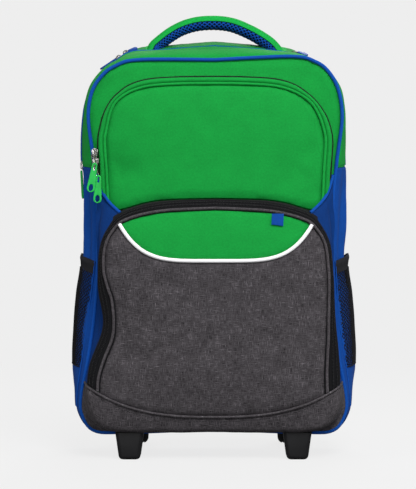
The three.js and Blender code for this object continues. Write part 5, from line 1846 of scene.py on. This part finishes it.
def make_room(stage):
    """Even light from all round, with a wall of the floor's own colour to look at."""
    world = bpy.data.worlds.new("soft room")
    world.use_nodes = True
    tree = world.node_tree
    tree.nodes.clear()
    seen = add_node(tree, "ShaderNodeLightPath").outputs["Is Camera Ray"]
    wall = add_node(tree, "ShaderNodeBackground", {"Color": (*stage.floor, 1)}).outputs[0]
    light = add_node(tree, "ShaderNodeBackground", {"Strength": stage.room_light}).outputs[0]
    mixed = add_node(tree, "ShaderNodeMixShader", {0: seen, 1: light, 2: wall}).outputs[0]
    add_node(tree, "ShaderNodeOutputWorld", {"Surface": mixed})
    bpy.context.scene.world = world


def make_light(name, place, size, power):
    """A soft square light aimed at the bag."""
    data = bpy.data.lights.new(name, "AREA")
    data.shape = "SQUARE"
    data.size = size
    data.energy = power
    obj = link(name, data)
    obj.location = place
    obj.rotation_euler = (Vector(LIT_POINT) - obj.location).to_track_quat("-Z", "Y").to_euler()


# The lights: their places and sizes in metres.
LIGHTS = {"key": ((0.6, -2.3, 2.3), 1.4), "low": ((-0.3, -2.3, 0.3), 1.0), "right": ((1.8, -0.7, 0.9), 1.2),
          "left": ((-1.8, -0.7, 0.9), 1.2), "back": ((0.3, 1.7, 1.9), 1.4)}
LIT_POINT = (0, 0, 0.27)


def make_stage(stage):
    """The camera, the floor, the room and the soft studio lights."""
    make_camera()
    make_floor(stage)
    make_room(stage)
    for name, (place, size) in LIGHTS.items():
        make_light(name + " light", place, size, getattr(stage, name + "_power"))
    bpy.context.scene.view_settings.view_transform = "Standard"


# What a user would change.

def power_of(label, where, default):
    """A light's power."""
    return FloatProperty(name=label, description="Power of the light " + where, default=default, min=0, unit="POWER")


def share_of(label, description, default):
    """A share, from none to all."""
    return FloatProperty(name=label, description=description, default=default, min=0, max=1, subtype="FACTOR")


def length_of(label, description, default):
    """A length in metres, given in millimetres."""
    return FloatProperty(name=label, description=description, default=default * MM, min=1e-5, unit="LENGTH")


def colour_of(label, description, default):
    """A colour."""
    return FloatVectorProperty(name=label, description=description, default=default, size=3, min=0, max=1,
                               subtype="COLOR")


class BagSizes(bpy.types.PropertyGroup):
    """Sizes of the bag's repeated details"""

    thread: length_of("Thread pitch", "Distance between the cloth's threads", 0.9)
    stitch_pitch: length_of("Stitch pitch", "Distance from stitch to stitch", 3.6)
    stitch_length: length_of("Stitch length", "Length of one stitch", 2.5)
    tooth_pitch: length_of("Tooth pitch", "Distance from tooth to tooth on the zips", 1.7)
    net_pitch: length_of("Net pitch", "Distance between the side nets' threads", 3.2)
    net_thread: length_of("Net thread", "Radius of the side nets' threads", 0.48)
    mesh_pitch: length_of("Air mesh pitch", "Distance between the air mesh's threads along the handle", 6.4)


class BagColours(bpy.types.PropertyGroup):
    """Colours of the bag's materials"""

    green: colour_of("Green", "Green cloth", (0.006, 0.292, 0.043))
    blue: colour_of("Blue", "Blue cloth", (0.003, 0.056, 0.29))
    grey: colour_of("Grey", "Middle grey of the heather cloth", (0.068, 0.062, 0.068))
    black: colour_of("Black", "Black cloth and net", (0.012, 0.012, 0.014))
    white: colour_of("White", "White piping", (0.98, 0.98, 1.0))
    green_pull: colour_of("Green pulls", "Green rubber pulls", (0.016, 0.46, 0.075))
    blue_pull: colour_of("Blue pulls", "Blue rubber pulls", (0.005, 0.052, 0.28))
    plastic: colour_of("Plastic", "Black plastic of the feet, wheels and grip", (0.010, 0.010, 0.011))
    nickel: colour_of("Nickel", "Bright sliders and axles", (0.5, 0.49, 0.48))
    # The nickel made darker for the sliders on the top: painted shade.
    dark_nickel: colour_of("Dark nickel", "Sliders on the top", (0.17, 0.165, 0.16))
    tube: colour_of("Tubes", "Tubes of the pull handle", (0.09, 0.09, 0.095))
    rod: colour_of("Rods", "Rods of the pull handle", (0.62, 0.62, 0.64))


class BagStage(bpy.types.PropertyGroup):
    """Floor and lights"""

    floor: colour_of("Floor", "Colour of the floor and the wall", (0.855, 0.855, 0.855))
    floor_shadow: share_of("Floor shadow", "Share of the floor's colour that takes shadow", 0.1)
    floor_glow: share_of("Floor glow", "Light that the floor gives of itself", 0.92)
    key_power: power_of("Key light", "high in front", 82)
    low_power: power_of("Low light", "low in front", 11)
    right_power: power_of("Right light", "on the right", 14)
    left_power: power_of("Left light", "on the left", 11)
    back_power: power_of("Back light", "behind", 30)
    room_light: share_of("Room light", "Strength of the even light all round", 0.18)


class BAG_OT_main_shell(bpy.types.Operator):
    """Make the main compartment: its cloth, panels, piping and zip"""

    bl_idname = "travel_bag.main_shell"
    bl_label = "Main compartment"

    def execute(self, context):
        make_gussets()
        make_front_panel()
        make_back_panel()
        make_main_piping()
        make_main_zip(context.scene.travel_bag_sizes)
        return {"FINISHED"}


class BAG_OT_upper_pocket(bpy.types.Operator):
    """Make the upper front pocket with its zip and piping"""

    bl_idname = "travel_bag.upper_pocket"
    bl_label = "Upper pocket"

    def execute(self, context):
        make_upper_pocket(context.scene.travel_bag_sizes)
        return {"FINISHED"}


class BAG_OT_lower_pocket(bpy.types.Operator):
    """Make the lower front pocket: base, zip band, wings, panel, yoke and tab"""

    bl_idname = "travel_bag.lower_pocket"
    bl_label = "Lower pocket"

    def execute(self, context):
        make_base_panel()
        make_zip_band(context.scene.travel_bag_sizes)
        make_wings()
        make_pocket_face()
        return {"FINISHED"}


class BAG_OT_side_pockets(bpy.types.Operator):
    """Make the net pockets on both sides"""

    bl_idname = "travel_bag.side_pockets"
    bl_label = "Side pockets"

    def execute(self, context):
        make_side_pockets(context.scene.travel_bag_sizes)
        return {"FINISHED"}


class BAG_OT_top_handle(bpy.types.Operator):
    """Make the padded top handle"""

    bl_idname = "travel_bag.top_handle"
    bl_label = "Top handle"

    def execute(self, context):
        make_handle(context.scene.travel_bag_sizes)
        return {"FINISHED"}


class BAG_OT_zip_pulls(bpy.types.Operator):
    """Make the zip sliders and their rubber pulls"""

    bl_idname = "travel_bag.zip_pulls"
    bl_label = "Zip sliders and pulls"

    def execute(self, context):
        make_hanging_pulls()
        make_lying_pulls()
        make_side_pull()
        return {"FINISHED"}


class BAG_OT_running_gear(bpy.types.Operator):
    """Make the feet, the wheels and their brackets"""

    bl_idname = "travel_bag.running_gear"
    bl_label = "Feet and wheels"

    def execute(self, context):
        make_feet()
        make_wheels()
        make_brackets()
        return {"FINISHED"}


class BAG_OT_pull_handle(bpy.types.Operator):
    """Make the telescopic pull handle on the back"""

    bl_idname = "travel_bag.pull_handle"
    bl_label = "Pull handle"

    def execute(self, context):
        make_pull_handle()
        return {"FINISHED"}


class BAG_OT_stitches(bpy.types.Operator):
    """Make the stitch lines along the seams"""

    bl_idname = "travel_bag.stitches"
    bl_label = "Stitches"

    def execute(self, context):
        make_stitches(context.scene.travel_bag_sizes)
        return {"FINISHED"}


class BAG_OT_stage(bpy.types.Operator):
    """Make the floor, the lights and the camera"""

    bl_idname = "travel_bag.stage"
    bl_label = "Stage"

    def execute(self, context):
        make_stage(context.scene.travel_bag_stage)
        return {"FINISHED"}


OPERATORS = (BAG_OT_main_shell, BAG_OT_upper_pocket, BAG_OT_lower_pocket, BAG_OT_side_pockets, BAG_OT_top_handle,
             BAG_OT_zip_pulls, BAG_OT_running_gear, BAG_OT_pull_handle, BAG_OT_stitches, BAG_OT_stage)


class BAG_PT_sidebar(bpy.types.Panel):
    """Lists the bag's operators and settings"""

    bl_label = "Travel bag"
    bl_idname = "BAG_PT_sidebar"
    bl_space_type = "VIEW_3D"
    bl_region_type = "UI"
    bl_category = "Travel bag"

    def draw(self, context):
        for operator in OPERATORS:
            self.layout.operator(operator.bl_idname)
        for name, group in SETTINGS.items():
            for label in group.__annotations__:
                self.layout.prop(getattr(context.scene, name), label)


SETTINGS = {"travel_bag_sizes": BagSizes, "travel_bag_colours": BagColours, "travel_bag_stage": BagStage}
CLASSES = (*SETTINGS.values(), *OPERATORS, BAG_PT_sidebar)


def register():
    """Adds the classes and the scene's settings."""
    for cls in CLASSES:
        bpy.utils.register_class(cls)
    for name, group in SETTINGS.items():
        setattr(bpy.types.Scene, name, PointerProperty(type=group))


def unregister():
    """Takes them away again."""
    for name in SETTINGS:
        delattr(bpy.types.Scene, name)
    for cls in reversed(CLASSES):
        bpy.utils.unregister_class(cls)


def main():
    """Makes the whole bag."""
    register()
    for operator in OPERATORS:
        group, name = operator.bl_idname.split(".")
        getattr(getattr(bpy.ops, group), name)()


if __name__ == "__main__":
    main()
